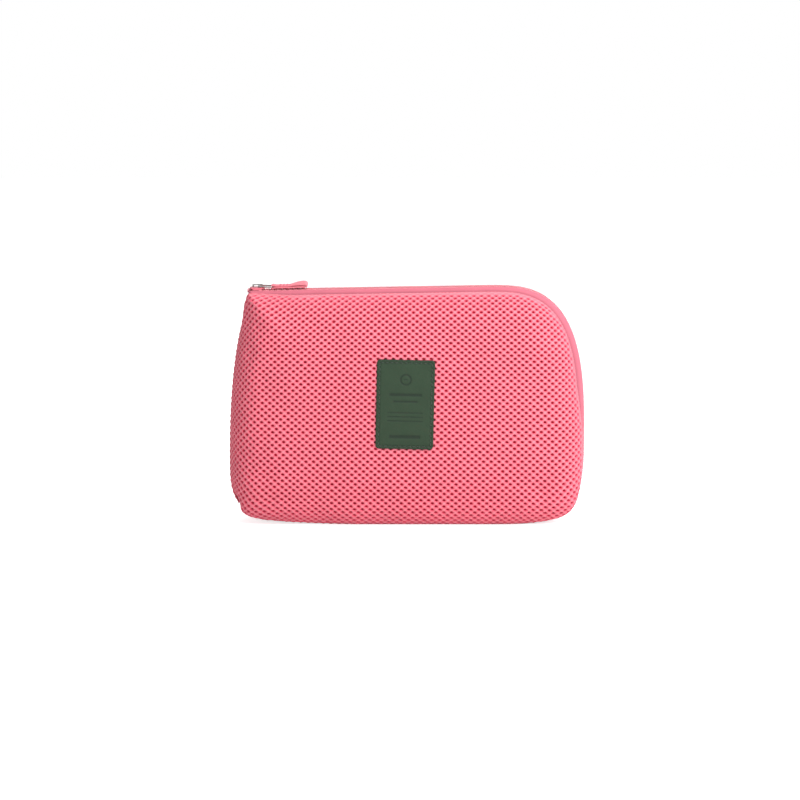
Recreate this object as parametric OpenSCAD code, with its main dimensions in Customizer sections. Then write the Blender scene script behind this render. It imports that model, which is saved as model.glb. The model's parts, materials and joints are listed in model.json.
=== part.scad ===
// Padded mesh cable organizer pouch: two dished halves joined down a leaning spine and closed by a
// zip that runs along the top, round the right side and along the bottom.
// Millimetres. +Z is up, +X is towards the rounded side, -Y is the front. The pouch stands on Z = 0,
// and the plane between its two halves is Y = 0.

/* [Pouch] */
// Width across the outer mesh
pouch_w = 189.5; // [180:0.5:205]
// Height of the zip's crest over the standing edge
pouch_h = 127; // [120:1:140]
// Thickness over both mesh faces
pouch_d = 40; // [38:1:48]
// Width of the outer face's rounding at the left, top, right and bottom
edge_round = [16, 24, 18, 13];
// How far the mesh wall sits in from the zip's crest at the left, top, right and bottom
wall_in = [0, 2.6, 4, 0];

/* [Layers] */
// Thickness of the spacer mesh
mesh_t = 1.8; // [1.2:0.1:2.2]
// Thickness of the foam
foam_t = 2.2; // [1.8:0.1:3]
// Thickness of the lining
lining_t = 0.5; // [0.3:0.1:0.8]

/* [Zip] */
// Thickness of the zip tape
tape_t = 0.5; // [0.4:0.05:0.6]
// Half of the visible width of the closed zip
zip_half_w = 8; // [7:0.5:9]
// Width of the coil on each tape
coil_w = 2; // [1.8:0.1:2.2]
// Distance the slider's middle sits from the zip's end when the pouch is closed
slider_set = 3.6; // [3.4:0.1:6]

/* [Puller] */
// Length of the wire link between its two bars
link_l = 7.4; // [6.6:0.1:9]
// Length of the folded tab
tab_l = 18.5; // [16:0.5:24]
// Width of the folded tab
tab_w = 7; // [6:0.5:8]

/* [Label] */
// Width of the label
label_w = 30.5; // [24:0.5:34]
// Height of the label
label_h = 47.5; // [36:0.5:50]

/* [Inside] */
// Number of loops in the upper elastic strap
upper_loops = 5; // [3:1:5]
// Number of loops in the lower elastic strap
lower_loops = 3; // [2:1:3]

/* [Hidden] */

pink = "#f8808c";
tape_pink = "#f4768a";
foam_red = "#b8324a";
lining_pink = "#e8909c";
silver = "#c8c8ca";
label_green = "#42604c";
net_pink = "#e06a7c";
elastic_pink = "#d85a70";

// Outline. Each corner is a quarter of a superellipse about its own centre.
half_w = pouch_w / 2;
right_x = 44;                      // where the two right-hand corners start
left_x = -57;                      // where the lower left corner starts
right_z = 42;                      // height of the widest point on the right
left_z = 31;                       // height of the widest point on the left
top_right_n = 3.05;                // exponents: 2 is an ellipse, more is squarer
low_right_n = 3.6;
low_left_n = 2.9;
top_fall = 2.1;                    // fall of the top edge towards the left
spine_lean = 17;                   // semi-axes of the ellipse down the left side
spine_rise = 99;
corner_steps = 10;
spine_steps = 8;
top_steps = 5;
bottom_steps = 3;

corner_z = pouch_h - top_fall;
function spine_x(z) = -half_w + spine_lean * (1 - sqrt(1 - pow((z - left_z) / spine_rise, 2)));
corner_x = spine_x(min(corner_z, left_z + 0.95 * spine_rise));
top_slope = atan(top_fall / (right_x - corner_x));

// A station is [point on the outline, the way inwards, Y of the mesh's rim there].
zip_rim = zip_half_w;
end_rim = 5;                       // at the zip's two ends
spine_rim = 0.5;                   // half of the slit down the spine
function corner(cx, cz, a, b, n, t) =
    let (c = cos(t), s = sin(t),
         u = sign(c) * pow(abs(c), 2 / n), v = sign(s) * pow(abs(s), 2 / n))
    [[cx + a * u, cz + b * v], [-u, -v], zip_rim];
function top_station(x) = [[x, pouch_h - (right_x - x) * tan(top_slope)], [0, -1], zip_rim];
function spine_station(f) =
    let (z = left_z + (corner_z - left_z) * f) [[spine_x(z), z], [1 - 0.2 * f * f, -f * f], spine_rim];
function with_rim(s, y) = [s[0], s[1], y];

top_run = [for (k = [1 : top_steps - 1]) top_station(corner_x + (right_x - corner_x) * k / top_steps)];
zip_corner = [[corner_x, corner_z], [0.8, -1], end_rim];
right_side = concat(
    [for (k = [0 : corner_steps]) corner(right_x, right_z, half_w - right_x, pouch_h - right_z,
                                         top_right_n, 90 - 90 * k / corner_steps)],
    [for (k = [1 : corner_steps]) corner(right_x, right_z, half_w - right_x, right_z,
                                         low_right_n, -90 * k / corner_steps)]);
bottom_run = [for (k = [1 : bottom_steps])
    [[right_x + (left_x - right_x) * k / bottom_steps, 0], [0, 1], zip_rim]];
zip_end_k = 6;                     // the zip stops at this station of the lower left corner
low_left = [for (k = [1 : corner_steps])
    with_rim(corner(left_x, left_z, half_w + left_x, left_z, low_left_n, -90 - 90 * k / corner_steps),
             k < zip_end_k ? zip_rim : (k == zip_end_k ? end_rim : spine_rim))];
spine = [for (k = [1 : spine_steps - 1]) spine_station(k / spine_steps)];

zip_path = concat([zip_corner], top_run, right_side, bottom_run, [for (k = [1 : zip_end_k]) low_left[k - 1]]);
outline = concat([zip_corner], top_run, right_side, bottom_run, low_left, spine);
zip_count = len(zip_path);

// A value given for the left, top, right and bottom, blended by the way a station faces.
function by_side(v, d) =
    (v[0] * pow(max(d.x, 0), 2) + v[1] * pow(max(-d.y, 0), 2)
     + v[2] * pow(max(-d.x, 0), 2) + v[3] * pow(max(d.y, 0), 2)) / (d.x * d.x + d.y * d.y);
// The wall's inset at the right fades towards the bottom corner.
function wall_at(s) = by_side([wall_in[0], wall_in[1], wall_in[2] * min(1, max(0.3, (s[0].y - 36) / 40)),
                               wall_in[3]], s[1]);
function crest_at(s) = by_side(crest_in, s[1]);
function at(station, inset, y) =
    [station[0].x + inset * station[1].x, y, station[0].y + inset * station[1].y];

// Sections
half_d = pouch_d / 2;
gap = 0.3;                         // clearance between layers
foot = 0.7;                        // flattening that makes the standing edge level
tape_in = mesh_t + gap;            // inset of the tape's flange behind the mesh
foam_in = tape_in + tape_t + gap;
lining_in = foam_in + foam_t + gap;
inner_in = lining_in + lining_t;
crest_in = [0, 0, 0, 2];           // the zip is proud at the top and recessed where the pouch stands
arc_steps = 5;

// A surface t deep in the wall curves from its rim (phi = 0) to the flat face (phi = 90).
function wall_inset(s, t, phi) = wall_at(s) + t
    + max(0, (by_side(edge_round, s[1]) - t) * (1 - cos(phi)) - by_side([0, 0, 0, foot], s[1]));
function ring(t, phi) = [for (s = outline) at(s, wall_inset(s, t, phi), -s[2] - (half_d - s[2] - t) * sin(phi))];
function phi_at(s, t, y) = asin(max(0, -y - s[2]) / (half_d - s[2] - t));
function rings(t, order) = [for (k = order) ring(t, 90 * k / arc_steps)];

// Skin over a list of rings, each with the same number of points, capped at both ends.
module loft(loops) {
    n = len(loops[0]);
    m = len(loops);
    sides = [for (k = [0 : m - 2], i = [0 : n - 1])
        let (a = k * n + i, b = k * n + (i + 1) % n, c = a + n, d = b + n) each [[a, b, d], [a, d, c]]];
    caps = [[for (i = [n - 1 : -1 : 0]) i], [for (i = [0 : n - 1]) (m - 1) * n + i]];
    polyhedron([for (l = loops) each l], concat(sides, caps));
}

module dished_layer(outer_t, inner_t)
    loft(concat(rings(inner_t, [arc_steps : -1 : 0]), rings(outer_t, [0 : arc_steps])));

// A strip swept along stations. Its section is a list of [depth, Y, 1 for depth in the wall or 0 under the crest].
module swept(path, section) loft([for (s = path) section_at(s, section)]);
function section_at(s, section) = [for (p = section)
    at(s, p[2] ? wall_inset(s, p[0], phi_at(s, p[0], p[1])) : p[0] + crest_at(s), p[1])];

// Layers of one half, drawn for the front and mirrored for the rear.
module mesh_shell() color(pink) dished_layer(0, mesh_t);
module foam_shell() color(foam_red) dished_layer(foam_in, foam_in + foam_t);
module lining_shell() color(lining_pink) dished_layer(lining_in, inner_in);

tape_edge = coil_w + 0.55;         // where each tape starts, outside its coil
shoulder = tape_edge + 2.15;       // the tape is flat to here, so the slider can run
flange_y = 10.5;
tape_drop = 0.2;                   // the tape lies this far under the crest
module zip_tape() color(tape_pink) {
    tuck = zip_half_w - 0.1;
    section = [
        [tape_drop + tape_t, -tape_edge, 0], [tape_drop + tape_t, -shoulder + 0.3, 0],
        [tape_in + tape_t, -tuck + 0.3, 1], [tape_in + tape_t, -flange_y, 1],
        [tape_in, -flange_y, 1], [tape_in, -tuck, 1], [tape_drop, -shoulder, 0], [tape_drop, -tape_edge, 0]];
    // the flange starts past the corner, where the mesh's rim has opened out
    first = [
        [tape_drop + tape_t, -tape_edge, 0], [tape_drop + tape_t, -shoulder + 0.3, 0],
        [tape_in + tape_t, 0.5 - end_rim, 1], [tape_in + tape_t, 0.15 - end_rim, 1],
        [tape_in, 0.15 - end_rim, 1], [tape_in, 0.2 - end_rim, 1], [tape_drop, -shoulder, 0],
        [tape_drop, -tape_edge, 0]];
    // heat-sealed tail past the corner, which the end stop is clamped to
    tail = [[0.75, -2.65], [0.75, -4.4], [0.7, -4.55], [0.6, -4.6], [0.3, -4.6], [0.2, -4.55], [0.15, -4.4],
            [0.15, -2.65]];
    loft(concat([for (x = [-2, -0.1]) [for (p = tail) at(top_station(corner_x + x), p[0], p[1])]],
                [section_at(zip_path[0], first)],
                [for (k = [1 : zip_count - 1]) section_at(zip_path[k], section)]));
}

coil_gap = 0.45;                   // half of the slit between the two coils, which the slider's post rides in
coil_top = 0.5;                    // height of the coil over the crest
coil_base = 0.9;                   // depth of the coil under the crest
slider_l = 8;
slider_x = corner_x + slider_set;
coil_start_x = slider_x + slider_l / 2 + 0.1;
coil_path = concat([top_station(coil_start_x)], [for (k = [1 : zip_count - 2]) zip_path[k]]);
module zip_coil() color(tape_pink)
    swept(coil_path, [[-coil_top, -coil_gap, 0], [coil_base, -coil_gap, 0],
                      [coil_base, -coil_gap - coil_w, 0], [-coil_top, -coil_gap - coil_w, 0]]);

// Binding folded over the raw edges of the foam and lining, inside the rim.
module seam_binding() color(tape_pink)
    swept([for (k = [1 : zip_count - 2]) zip_path[k]],
          [[foam_in + 0.4, -zip_rim + 0.55, 1], [inner_in + 0.6, -zip_rim + 0.55, 1], [inner_in + 0.6, -9.8, 1],
           [inner_in + gap, -9.8, 1], [inner_in + gap, -zip_rim + 0.1, 1], [foam_in + 0.4, -zip_rim + 0.1, 1]]);

// Local frame on the crest of the top run: X along the zip, Z out of the pouch.
module on_crest(x) translate(at(top_station(x), 0, 0)) rotate([0, -top_slope, 0]) children();

// A plate of thickness t with rounded corners, its underside at Z = 0.
module plate(l, w, t, r) linear_extrude(t) rounded_rectangle(l, w, r);
module rounded_rectangle(l, w, r) {
    square([l - 2 * r, w], center = true);
    square([l, w - 2 * r], center = true);
    for (x = [-1, 1], y = [-1, 1]) translate([x * (l / 2 - r), y * (w / 2 - r)]) circle(r, $fn = 32);
}

// A box from one corner to the other.
module block(a, b) translate(a) cube(b - a);

// Clip on the end of one tape that the slider stops against.
module top_stop() color(silver) on_crest(corner_x - 1.2) difference() {
    block([-0.5, -3.5, -1.2], [0.5, -coil_gap - 0.15, 0.5]);
    block([-1, -4, -tape_drop - tape_t - 0.1], [1, -tape_edge + 0.1, -tape_drop + 0.1]);
}

// Clip over both tapes at the other end of the zip.
function near_zip_end(f) = let (a = zip_path[zip_count - 2], b = zip_path[zip_count - 1])
    [a[0] * (1 - f) + b[0] * f, a[1] * (1 - f) + b[1] * f, end_rim];
module zip_bottom_stop() color(silver)
    swept([near_zip_end(0.3), near_zip_end(0.9)],
          [[-0.6, -2.4, 0], [-0.6, 2.4, 0], [1.1, 2.4, 0], [1.1, -2.4, 0]]);

// Folded strip in the slit of the spine. The front half turns about its bead, which leans with the spine.
touch_at = 21.7;                   // where the bead meets the ellipse down the left side, in degrees up it
fold_angle = atan(tan(touch_at) * spine_lean / spine_rise);
fold_touch_z = left_z + spine_rise * sin(touch_at);
fold_r = 0.4;
fold_x = spine_x(fold_touch_z) - 0.1;
module spine_fold() color(pink) translate([fold_x, 0, fold_touch_z]) rotate([0, fold_angle, 0]) {
    cylinder(r = fold_r, h = 50, center = true, $fn = 32);
    translate([1.6, 0.1, 0]) cube([3.2, 0.4, 50], center = true);
}

// Slider of the main zip
plate_t = 0.7;
slider_w = 8;
run_clear = 0.15;                  // clearance of the slider over the coils and tapes
top_plate_z = coil_top + run_clear;
low_plate_z = -coil_base - run_clear;
bridge_z = top_plate_z + plate_t;
wire_r = 0.4;
bridge_gap = 2 * wire_r + 0.2;
bridge_t = 0.5;
link_x = 0.8;                      // the link's pivot, from the slider's middle
link_z = bridge_z + bridge_gap / 2;

module slider_body() color(silver) on_crest(slider_x) {
    translate([0, 0, top_plate_z]) plate(slider_l, slider_w, plate_t, 1.6);
    translate([0, 0, low_plate_z - plate_t]) plate(slider_l, slider_w, plate_t, 1.6);
    for (s = [-1, 1]) {
        rail_in = slider_w / 2 - 0.8;
        block([-2.4, min(s * rail_in, s * slider_w / 2), -tape_drop + run_clear],
              [2.4, max(s * rail_in, s * slider_w / 2), top_plate_z + 0.1]);
        block([-2.4, min(s * rail_in, s * slider_w / 2), low_plate_z - 0.1],
              [2.4, max(s * rail_in, s * slider_w / 2), -tape_drop - tape_t - run_clear]);
    }
    post_half = coil_gap - run_clear;
    block([-3.6, -post_half, low_plate_z - 0.1], [-1.4, post_half, top_plate_z + 0.1]);
    // bridge that the link hangs on
    translate([0, 0, bridge_z - 0.1]) rotate([90, 0, 0]) linear_extrude(1.8, center = true)
        difference() {
            translate([-2.7, 0]) square([5.4, bridge_gap + bridge_t + 0.1]);
            translate([-1.9, -0.1]) square([3.8, bridge_gap + 0.2]);
        }
}

// Wire link, lying along the zip
link_rise = -2.5;                  // degrees
link_in_w = tab_w + 0.6;
module link_frame() on_crest(slider_x) translate([link_x, 0, link_z]) rotate([0, -link_rise, 0]) children();
module pull_link() color(silver) link_frame() {
    bend = 1.1;
    arm_y = link_in_w / 2 + wire_r;
    for (x = [0, link_l]) translate([x, 0, 0]) rotate([90, 0, 0])
        cylinder(r = wire_r, h = 2 * (arm_y - bend), center = true, $fn = 32);
    for (s = [-1, 1]) translate([link_l / 2, s * arm_y, 0]) rotate([0, 90, 0])
        cylinder(r = wire_r, h = link_l - 2 * bend, center = true, $fn = 32);
    for (q = [[link_l - bend, arm_y - bend, 0], [bend, arm_y - bend, 90],
              [bend, bend - arm_y, 180], [link_l - bend, bend - arm_y, 270]])
        translate([q[0], q[1], 0]) rotate([0, 0, q[2]])
            rotate_extrude(angle = 90, $fn = 48) translate([bend, 0]) circle(wire_r, $fn = 32);
}

// Folded tab, looped round the link's far bar
tab_t = 1.7;
tab_rise = 3.5;                    // degrees, from the link
loop_clear = 0.08;
module tab_frame() link_frame() translate([link_l, 0, 0]) rotate([0, -tab_rise, 0]) children();
module pull_tab() color(tape_pink) tab_frame() rotate([90, 0, 0]) linear_extrude(tab_w, center = true)
    difference() {
        union() {
            circle(wire_r + loop_clear + 0.5, $fn = 48);
            translate([0, -tab_t / 2]) square([tab_l - tab_t / 2, tab_t]);
            translate([tab_l - tab_t / 2, 0]) circle(tab_t / 2, $fn = 32);
        }
        circle(wire_r + loop_clear, $fn = 48);
    }
module tab_stitches() color(pink) tab_frame()
    for (s = [-1, 1], k = [0 : 5]) translate([4 + k * 2.6, s * (tab_w / 2 - 0.9), tab_t / 2 + 0.22])
        rotate([0, 90, 0]) cylinder(r = 0.2, h = 1.7, center = true, $fn = 16);

// Label sewn to the front face
label_t = 1;
label_at = [-1, -half_d - 0.05, 66.5];
label_r = 1.6;
module on_label() translate(label_at) rotate([90, 0, 0]) children();
module label_patch() color(label_green) on_label() plate(label_w, label_h, label_t, label_r);
stitch_in = 1.5;
stitch_pitch = 2.4;
module label_stitches() color(label_green) {
    w = label_w - 2 * stitch_in;
    h = label_h - 2 * stitch_in;
    nx = floor(w / stitch_pitch);
    nz = floor(h / stitch_pitch);
    on_label() translate([0, 0, label_t + 0.22]) {
        for (k = [0.5 : nx], s = [-1, 1]) translate([w * (k / nx - 0.5), s * h / 2, 0])
            rotate([0, 90, 0]) cylinder(r = 0.2, h = 1.6, center = true, $fn = 16);
        for (k = [0.5 : nz], s = [-1, 1]) translate([s * w / 2, h * (k / nz - 0.5), 0])
            rotate([90, 0, 0]) cylinder(r = 0.2, h = 1.6, center = true, $fn = 16);
    }
}

// Net pocket with its own zip on the inside of the front half. Depths run towards the front face.
inner_y = half_d - inner_in;       // depth of the lining's inner surface
pocket_w = 126;
pocket_x = -2;
pocket_low = 20;
pocket_zip_z = 84;
tape_h = 8;
coil_d = inner_y - 1.75;           // depth of the pocket coils' middle
module pocket_box(x, depth, z) block([pocket_x + x[0], -depth[1], z[0]], [pocket_x + x[1], -depth[0], z[1]]);
net_depth = [inner_y - 1.25, inner_y - 0.85];

module pocket_net() color(net_pink)
    pocket_box([-pocket_w / 2, pocket_w / 2], net_depth, [pocket_low, pocket_zip_z - tape_h]);
module pocket_edge_binding() color(tape_pink) difference() {
    pocket_box([-pocket_w / 2 - 3, pocket_w / 2 + 3], [inner_y - 1.9, inner_y - 0.05],
               [pocket_low - 3, pocket_zip_z + tape_h + 0.5]);
    pocket_box([-pocket_w / 2 + 3, pocket_w / 2 - 3], [0, half_d],
               [pocket_low + 3, pocket_zip_z + tape_h + 1]);
    pocket_box([-pocket_w / 2 - 0.1, pocket_w / 2 + 0.1], [inner_y - 1.35, inner_y - 0.05],
               [pocket_low - 0.1, pocket_zip_z + tape_h + 1]);
}
module pocket_lower_tape() color(tape_pink)
    pocket_box([-pocket_w / 2 + 3.1, pocket_w / 2 - 3.1], [inner_y - 1.75, inner_y - 1.35],
               [pocket_zip_z - tape_h, pocket_zip_z - 1.75]);
module pocket_upper_tape() color(tape_pink)
    pocket_box([-pocket_w / 2 + 3.1, pocket_w / 2 - 3.1], [inner_y - 1.75, inner_y - 1.35],
               [pocket_zip_z + 1.75, pocket_zip_z + tape_h]);
pocket_coil_l = pocket_w / 2 - 12;
module pocket_coil(side) color(tape_pink)
    pocket_box([-pocket_coil_l, pocket_coil_l], [coil_d - 0.55, coil_d + 0.55],
               side > 0 ? [pocket_zip_z + 0.35, pocket_zip_z + 1.65] : [pocket_zip_z - 1.65, pocket_zip_z - 0.35]);
module pocket_end_stops() color(silver)
    for (s = [-1, 1]) pocket_box(s > 0 ? [pocket_coil_l + 0.4, pocket_coil_l + 1.6] : [-pocket_coil_l - 1.6, -pocket_coil_l - 0.4],
                                 [coil_d - 0.6, coil_d + 0.4], [pocket_zip_z - 1.7, pocket_zip_z + 1.7]);

// Slider of the pocket zip: X along the zip, Z out of the pocket, towards the compartment
pocket_slider_l = 8;
pocket_slider_x = pocket_x - pocket_coil_l + pocket_slider_l / 2 + 0.4;
pocket_post = 0.2;
module on_pocket_zip() translate([pocket_slider_x, -coil_d, pocket_zip_z]) rotate([-90, 0, 0]) children();
pocket_plate_z = 0.7;
pocket_plate_t = 0.6;
pocket_bridge_z = pocket_plate_z + pocket_plate_t;
pocket_pin_r = 0.4;
pocket_pin_z = pocket_bridge_z + 0.55;
module pocket_slider() color(silver) on_pocket_zip() {
    for (z = [pocket_plate_z, -pocket_plate_z - pocket_plate_t])
        translate([0, 0, z]) plate(pocket_slider_l, 6, pocket_plate_t, 1.2);
    block([-3.6, -pocket_post, -pocket_plate_z - 0.1], [-1.8, pocket_post, pocket_plate_z + 0.1]);
    translate([0, 0, pocket_bridge_z - 0.1]) rotate([90, 0, 0]) linear_extrude(1.4, center = true)
        difference() {
            translate([-2.4, 0]) square([4.8, 1.9]);
            translate([-1.5, -0.1]) square([3, 1.3]);
        }
}
pocket_pull_l = 15;
module pocket_pull() color(silver) on_pocket_zip() translate([0.4, 0, pocket_pin_z]) {
    rotate([90, 0, 0]) cylinder(r = pocket_pin_r, h = 3.4, center = true, $fn = 32);
    for (s = [-1, 1]) translate([-0.4, s * 1.35 - 0.35, -pocket_pin_r]) cube([4.6, 0.7, 2 * pocket_pin_r]);
    translate([3.6 + pocket_pull_l / 2 - 2, 0, -pocket_pin_r]) linear_extrude(2 * pocket_pin_r) difference() {
        rounded_rectangle(pocket_pull_l - 3.6, 4, 1.2);
        translate([3, 0]) circle(0.8, $fn = 32);
    }
}

// Elastic loops on the inside of the rear half. Each is an arch standing off the lining.
strap_t = 1;
tack_w = 4;                        // flat stitched length between loops
module loop_strap(count, chord, band) color(elastic_pink) {
    pitch = chord + tack_w;
    rise = loop_rise;
    radius = (chord * chord / 4 + rise * rise) / (2 * rise);
    base = inner_y - 0.05;
    start = -count * pitch / 2;
    translate([pocket_x, 0, band[0]]) linear_extrude(band[1] - band[0]) {
        for (k = [0 : count]) translate([start - tack_w / 2 + k * pitch, base - strap_t])
            square([tack_w, strap_t]);
        for (k = [0 : count - 1]) translate([start + (k + 0.5) * pitch, base - rise + radius - strap_t])
            difference() {
                circle(radius + strap_t / 2, $fn = 96);
                circle(radius - strap_t / 2, $fn = 96);
                translate([-2 * radius, rise - radius + strap_t / 2]) square([4 * radius, 4 * radius]);
            }
    }
}
upper_chord = 20;
lower_chord = 35;
upper_band = [62, 80];
lower_band = [26, 46];
loop_rise = 5.6;
module upper_loop_strap() loop_strap(upper_loops, upper_chord, upper_band);
module lower_loop_strap() loop_strap(lower_loops, lower_chord, lower_band);
module bar_tacks(count, chord, band) {
    pitch = chord + tack_w;
    for (k = [0 : count]) translate([pocket_x - count * pitch / 2 + k * pitch, inner_y - 0.05 - strap_t - 0.35,
                                     (band[0] + band[1]) / 2])
        cube([1.4, 0.5, band[1] - band[0] - 2], center = true);
}
module strap_bar_tacks() color(foam_red) {
    bar_tacks(upper_loops, upper_chord, upper_band);
    bar_tacks(lower_loops, lower_chord, lower_band);
}

module rear() mirror([0, 1, 0]) children();

rear() mesh_shell();  // rear_mesh
rear() foam_shell();  // rear_foam
rear() lining_shell();  // rear_lining
rear() seam_binding();  // rear_seam_binding
rear() zip_tape();  // rear_zip_tape
rear() zip_coil();  // rear_zip_coil
rear() top_stop();  // rear_top_stop
zip_bottom_stop();
spine_fold();
upper_loop_strap();
lower_loop_strap();
strap_bar_tacks();
mesh_shell();  // front_mesh
foam_shell();  // front_foam
lining_shell();  // front_lining
seam_binding();  // front_seam_binding
zip_tape();  // front_zip_tape
zip_coil();  // front_zip_coil
top_stop();  // front_top_stop
label_patch();
label_stitches();
pocket_net();
pocket_edge_binding();
pocket_lower_tape();
pocket_upper_tape();
pocket_coil(-1);  // pocket_lower_coil
pocket_coil(1);  // pocket_upper_coil
pocket_end_stops();
slider_body();
pull_link();
pull_tab();
tab_stitches();
pocket_slider();
pocket_pull();
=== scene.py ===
"""Looks of the cable organizer pouch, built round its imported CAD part.

The outer cloth is laid out flat as a net of holes, wrapped round the pouch's rounded surface, and swollen by
a cloth simulation of the closed pouch. Tapes, coils, hems and stitches are swept along the outline.
Sizes are in millimetres, in the part's own frame, until a mesh is made. A shape is an array of points, a list
of face arrays and, where its material needs them, values for each point.
"""

import json
import math

import bpy
import numpy as np
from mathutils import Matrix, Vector
from mathutils.bvhtree import BVHTree


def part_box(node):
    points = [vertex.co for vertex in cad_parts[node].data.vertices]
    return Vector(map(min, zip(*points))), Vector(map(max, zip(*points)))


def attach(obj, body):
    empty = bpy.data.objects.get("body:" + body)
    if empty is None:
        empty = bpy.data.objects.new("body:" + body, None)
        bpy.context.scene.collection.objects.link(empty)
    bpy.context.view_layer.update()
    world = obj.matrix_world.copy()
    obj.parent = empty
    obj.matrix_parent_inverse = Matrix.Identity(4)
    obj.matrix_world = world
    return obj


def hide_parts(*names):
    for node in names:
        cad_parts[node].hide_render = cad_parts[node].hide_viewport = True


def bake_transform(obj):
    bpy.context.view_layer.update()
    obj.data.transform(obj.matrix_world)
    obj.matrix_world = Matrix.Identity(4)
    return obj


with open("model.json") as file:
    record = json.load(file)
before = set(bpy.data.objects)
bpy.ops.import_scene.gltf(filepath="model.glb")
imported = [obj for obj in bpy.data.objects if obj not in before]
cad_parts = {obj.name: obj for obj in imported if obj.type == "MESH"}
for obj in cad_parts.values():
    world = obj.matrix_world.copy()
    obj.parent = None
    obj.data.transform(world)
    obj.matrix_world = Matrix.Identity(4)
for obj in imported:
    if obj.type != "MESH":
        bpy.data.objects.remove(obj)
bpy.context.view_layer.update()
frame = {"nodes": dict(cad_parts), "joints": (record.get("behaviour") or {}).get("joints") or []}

MM = 0.001
JOINTS = {j["name"]: j for j in frame["joints"]}


def node_box(name):
    """Lowest and highest corner of a CAD node, in millimetres."""
    return [np.array(corner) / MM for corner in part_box(name)]


# ---------------- sizes

HALF_W = -node_box("front_mesh")[0][0]
HALF_D = -node_box("front_mesh")[0][1]
COIL_TOP = 0.5
TOP_Z = node_box("front_zip_coil")[1][2] - COIL_TOP

# Outline: superellipse corners about their own centres, and an ellipse down the spine
RIGHT_X, RIGHT_Z = 44, 42
LEFT_X, LEFT_Z = -57, 31
TOP_RIGHT_N, LOW_RIGHT_N, LOW_LEFT_N = 3.05, 3.6, 2.9
SPINE_LEAN, SPINE_RISE = 17, 99
TOP_FALL = 2.1
CORNER_Z = TOP_Z - TOP_FALL

# For the left, top, right and bottom: how far the edge rounds in towards the face, how far the wall stands
# inside the outline, how much of the rounding the foot flattens, and how deep the zip's crest is sunk
EDGE_ROUND = (16, 24, 18, 13)
WALL_IN = (0, 2.6, 4, 0)
FOOT = (0, 0, 0, 0.7)
CREST_IN = (0, 0, 0, 2)
ZIP_RIM, END_RIM = 8, 5         # from the zip's plane to the cloth's rim, along the zip and at its ends

# Layers, as depths in the wall
MESH_T = 1.25
PADDING_IN = 5.3
LINING_OUT, LINING_IN = 5.4, 5.9

# Outer cloth
PITCH = (4.05, 3.42)
HOLE = (0.86, 0.67)             # half sizes
SPINE_Y = 6                     # cloth nearer the spine's middle than this goes into the spine's own piece

NOTCH = (-90.2, 10.2)           # where the zip ends, the lower left corner is pinched in
SWELL_CAP = 2.2                 # furthest the cloth may swell
QUARTER_TURN, FULL_TURN = math.pi / 2, 2 * math.pi

# Corners where the padding fills the cloth more: x, z, how far it is pushed, its reach, and the distances
# from the zip's plane where the push begins and is full
FULL_CORNERS = [(-86, 121, (-2.7, 0.3), 14, (2.5, 6.5)), (-84, 6, (-2.4, -1.5), 12, (7, 13)),
                (86, 6, (2.4, -1.7), 13, (7, 13))]

OUTLINE_SAMPLES, CORNER_SAMPLES = 400, 1500


# ---------------- outline and surface

def superellipse(cx, cz, a, b, n, start):
    """A quarter turn clockwise from start degrees: place, the way inwards, and the share of the turn."""
    share = np.linspace(0, 1, CORNER_SAMPLES)
    t = np.radians(start - 90 * share)
    u, v = (np.sign(f) * abs(f) ** (2 / n) for f in (np.cos(t), np.sin(t)))
    return np.c_[cx + a * u, cz + b * v, -u, -v], share


def spine_x(z):
    return -HALF_W + SPINE_LEAN * (1 - np.sqrt(1 - ((z - LEFT_Z) / SPINE_RISE) ** 2))


def make_track():
    """Columns: x, z, inward x, inward z, and the Y of the cloth's rim. Runs from the slider's corner along
    the top, down the right, along the bottom to the zip's end, and back up the spine."""
    corner_x = spine_x(min(CORNER_Z, LEFT_Z + 0.95 * SPINE_RISE))
    x = np.linspace(corner_x, RIGHT_X, OUTLINE_SAMPLES)
    near = np.clip(1 - 5 * (x - corner_x) / (RIGHT_X - corner_x), 0, 1)
    z = TOP_Z - TOP_FALL * (RIGHT_X - x) / (RIGHT_X - corner_x)
    top = np.c_[x, z, 0.8 * near, -np.ones_like(x), ZIP_RIM - (ZIP_RIM - END_RIM) * near]

    def zip_part(part):
        return np.c_[part[0], np.full(len(part[0]), ZIP_RIM)]

    top_right = zip_part(superellipse(RIGHT_X, RIGHT_Z, HALF_W - RIGHT_X, TOP_Z - RIGHT_Z, TOP_RIGHT_N, 90))
    low_right = zip_part(superellipse(RIGHT_X, RIGHT_Z, HALF_W - RIGHT_X, RIGHT_Z, LOW_RIGHT_N, 0))
    x = np.linspace(RIGHT_X, LEFT_X, OUTLINE_SAMPLES // 2)
    bottom = np.c_[x, 0 * x, 0 * x, 1 + 0 * x, ZIP_RIM + 0 * x]
    places, share = superellipse(LEFT_X, LEFT_Z, HALF_W + LEFT_X, LEFT_Z, LOW_LEFT_N, -90)
    low_left = np.c_[places, np.interp(share, [0.5, 0.6, 0.7], [ZIP_RIM, END_RIM, 0])]
    f = np.linspace(0, 1, OUTLINE_SAMPLES)
    z = LEFT_Z + (CORNER_Z - LEFT_Z) * f
    spine = np.c_[spine_x(z), z, 1 - 0.2 * f * f, -f * f, END_RIM * np.clip((f - 0.9) / 0.1, 0, 1)]
    track = np.concatenate([top, top_right, low_right, bottom, low_left, spine])
    run = np.r_[0, np.cumsum(np.hypot(*np.diff(track[:, :2], axis=0).T))]
    before = len(track) - len(spine) - len(low_left)
    return track, run, run[before + np.searchsorted(share, 0.6)]


TRACK, RUN, ZIP_END = make_track()
ROUND_TRIP = RUN[-1]


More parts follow.
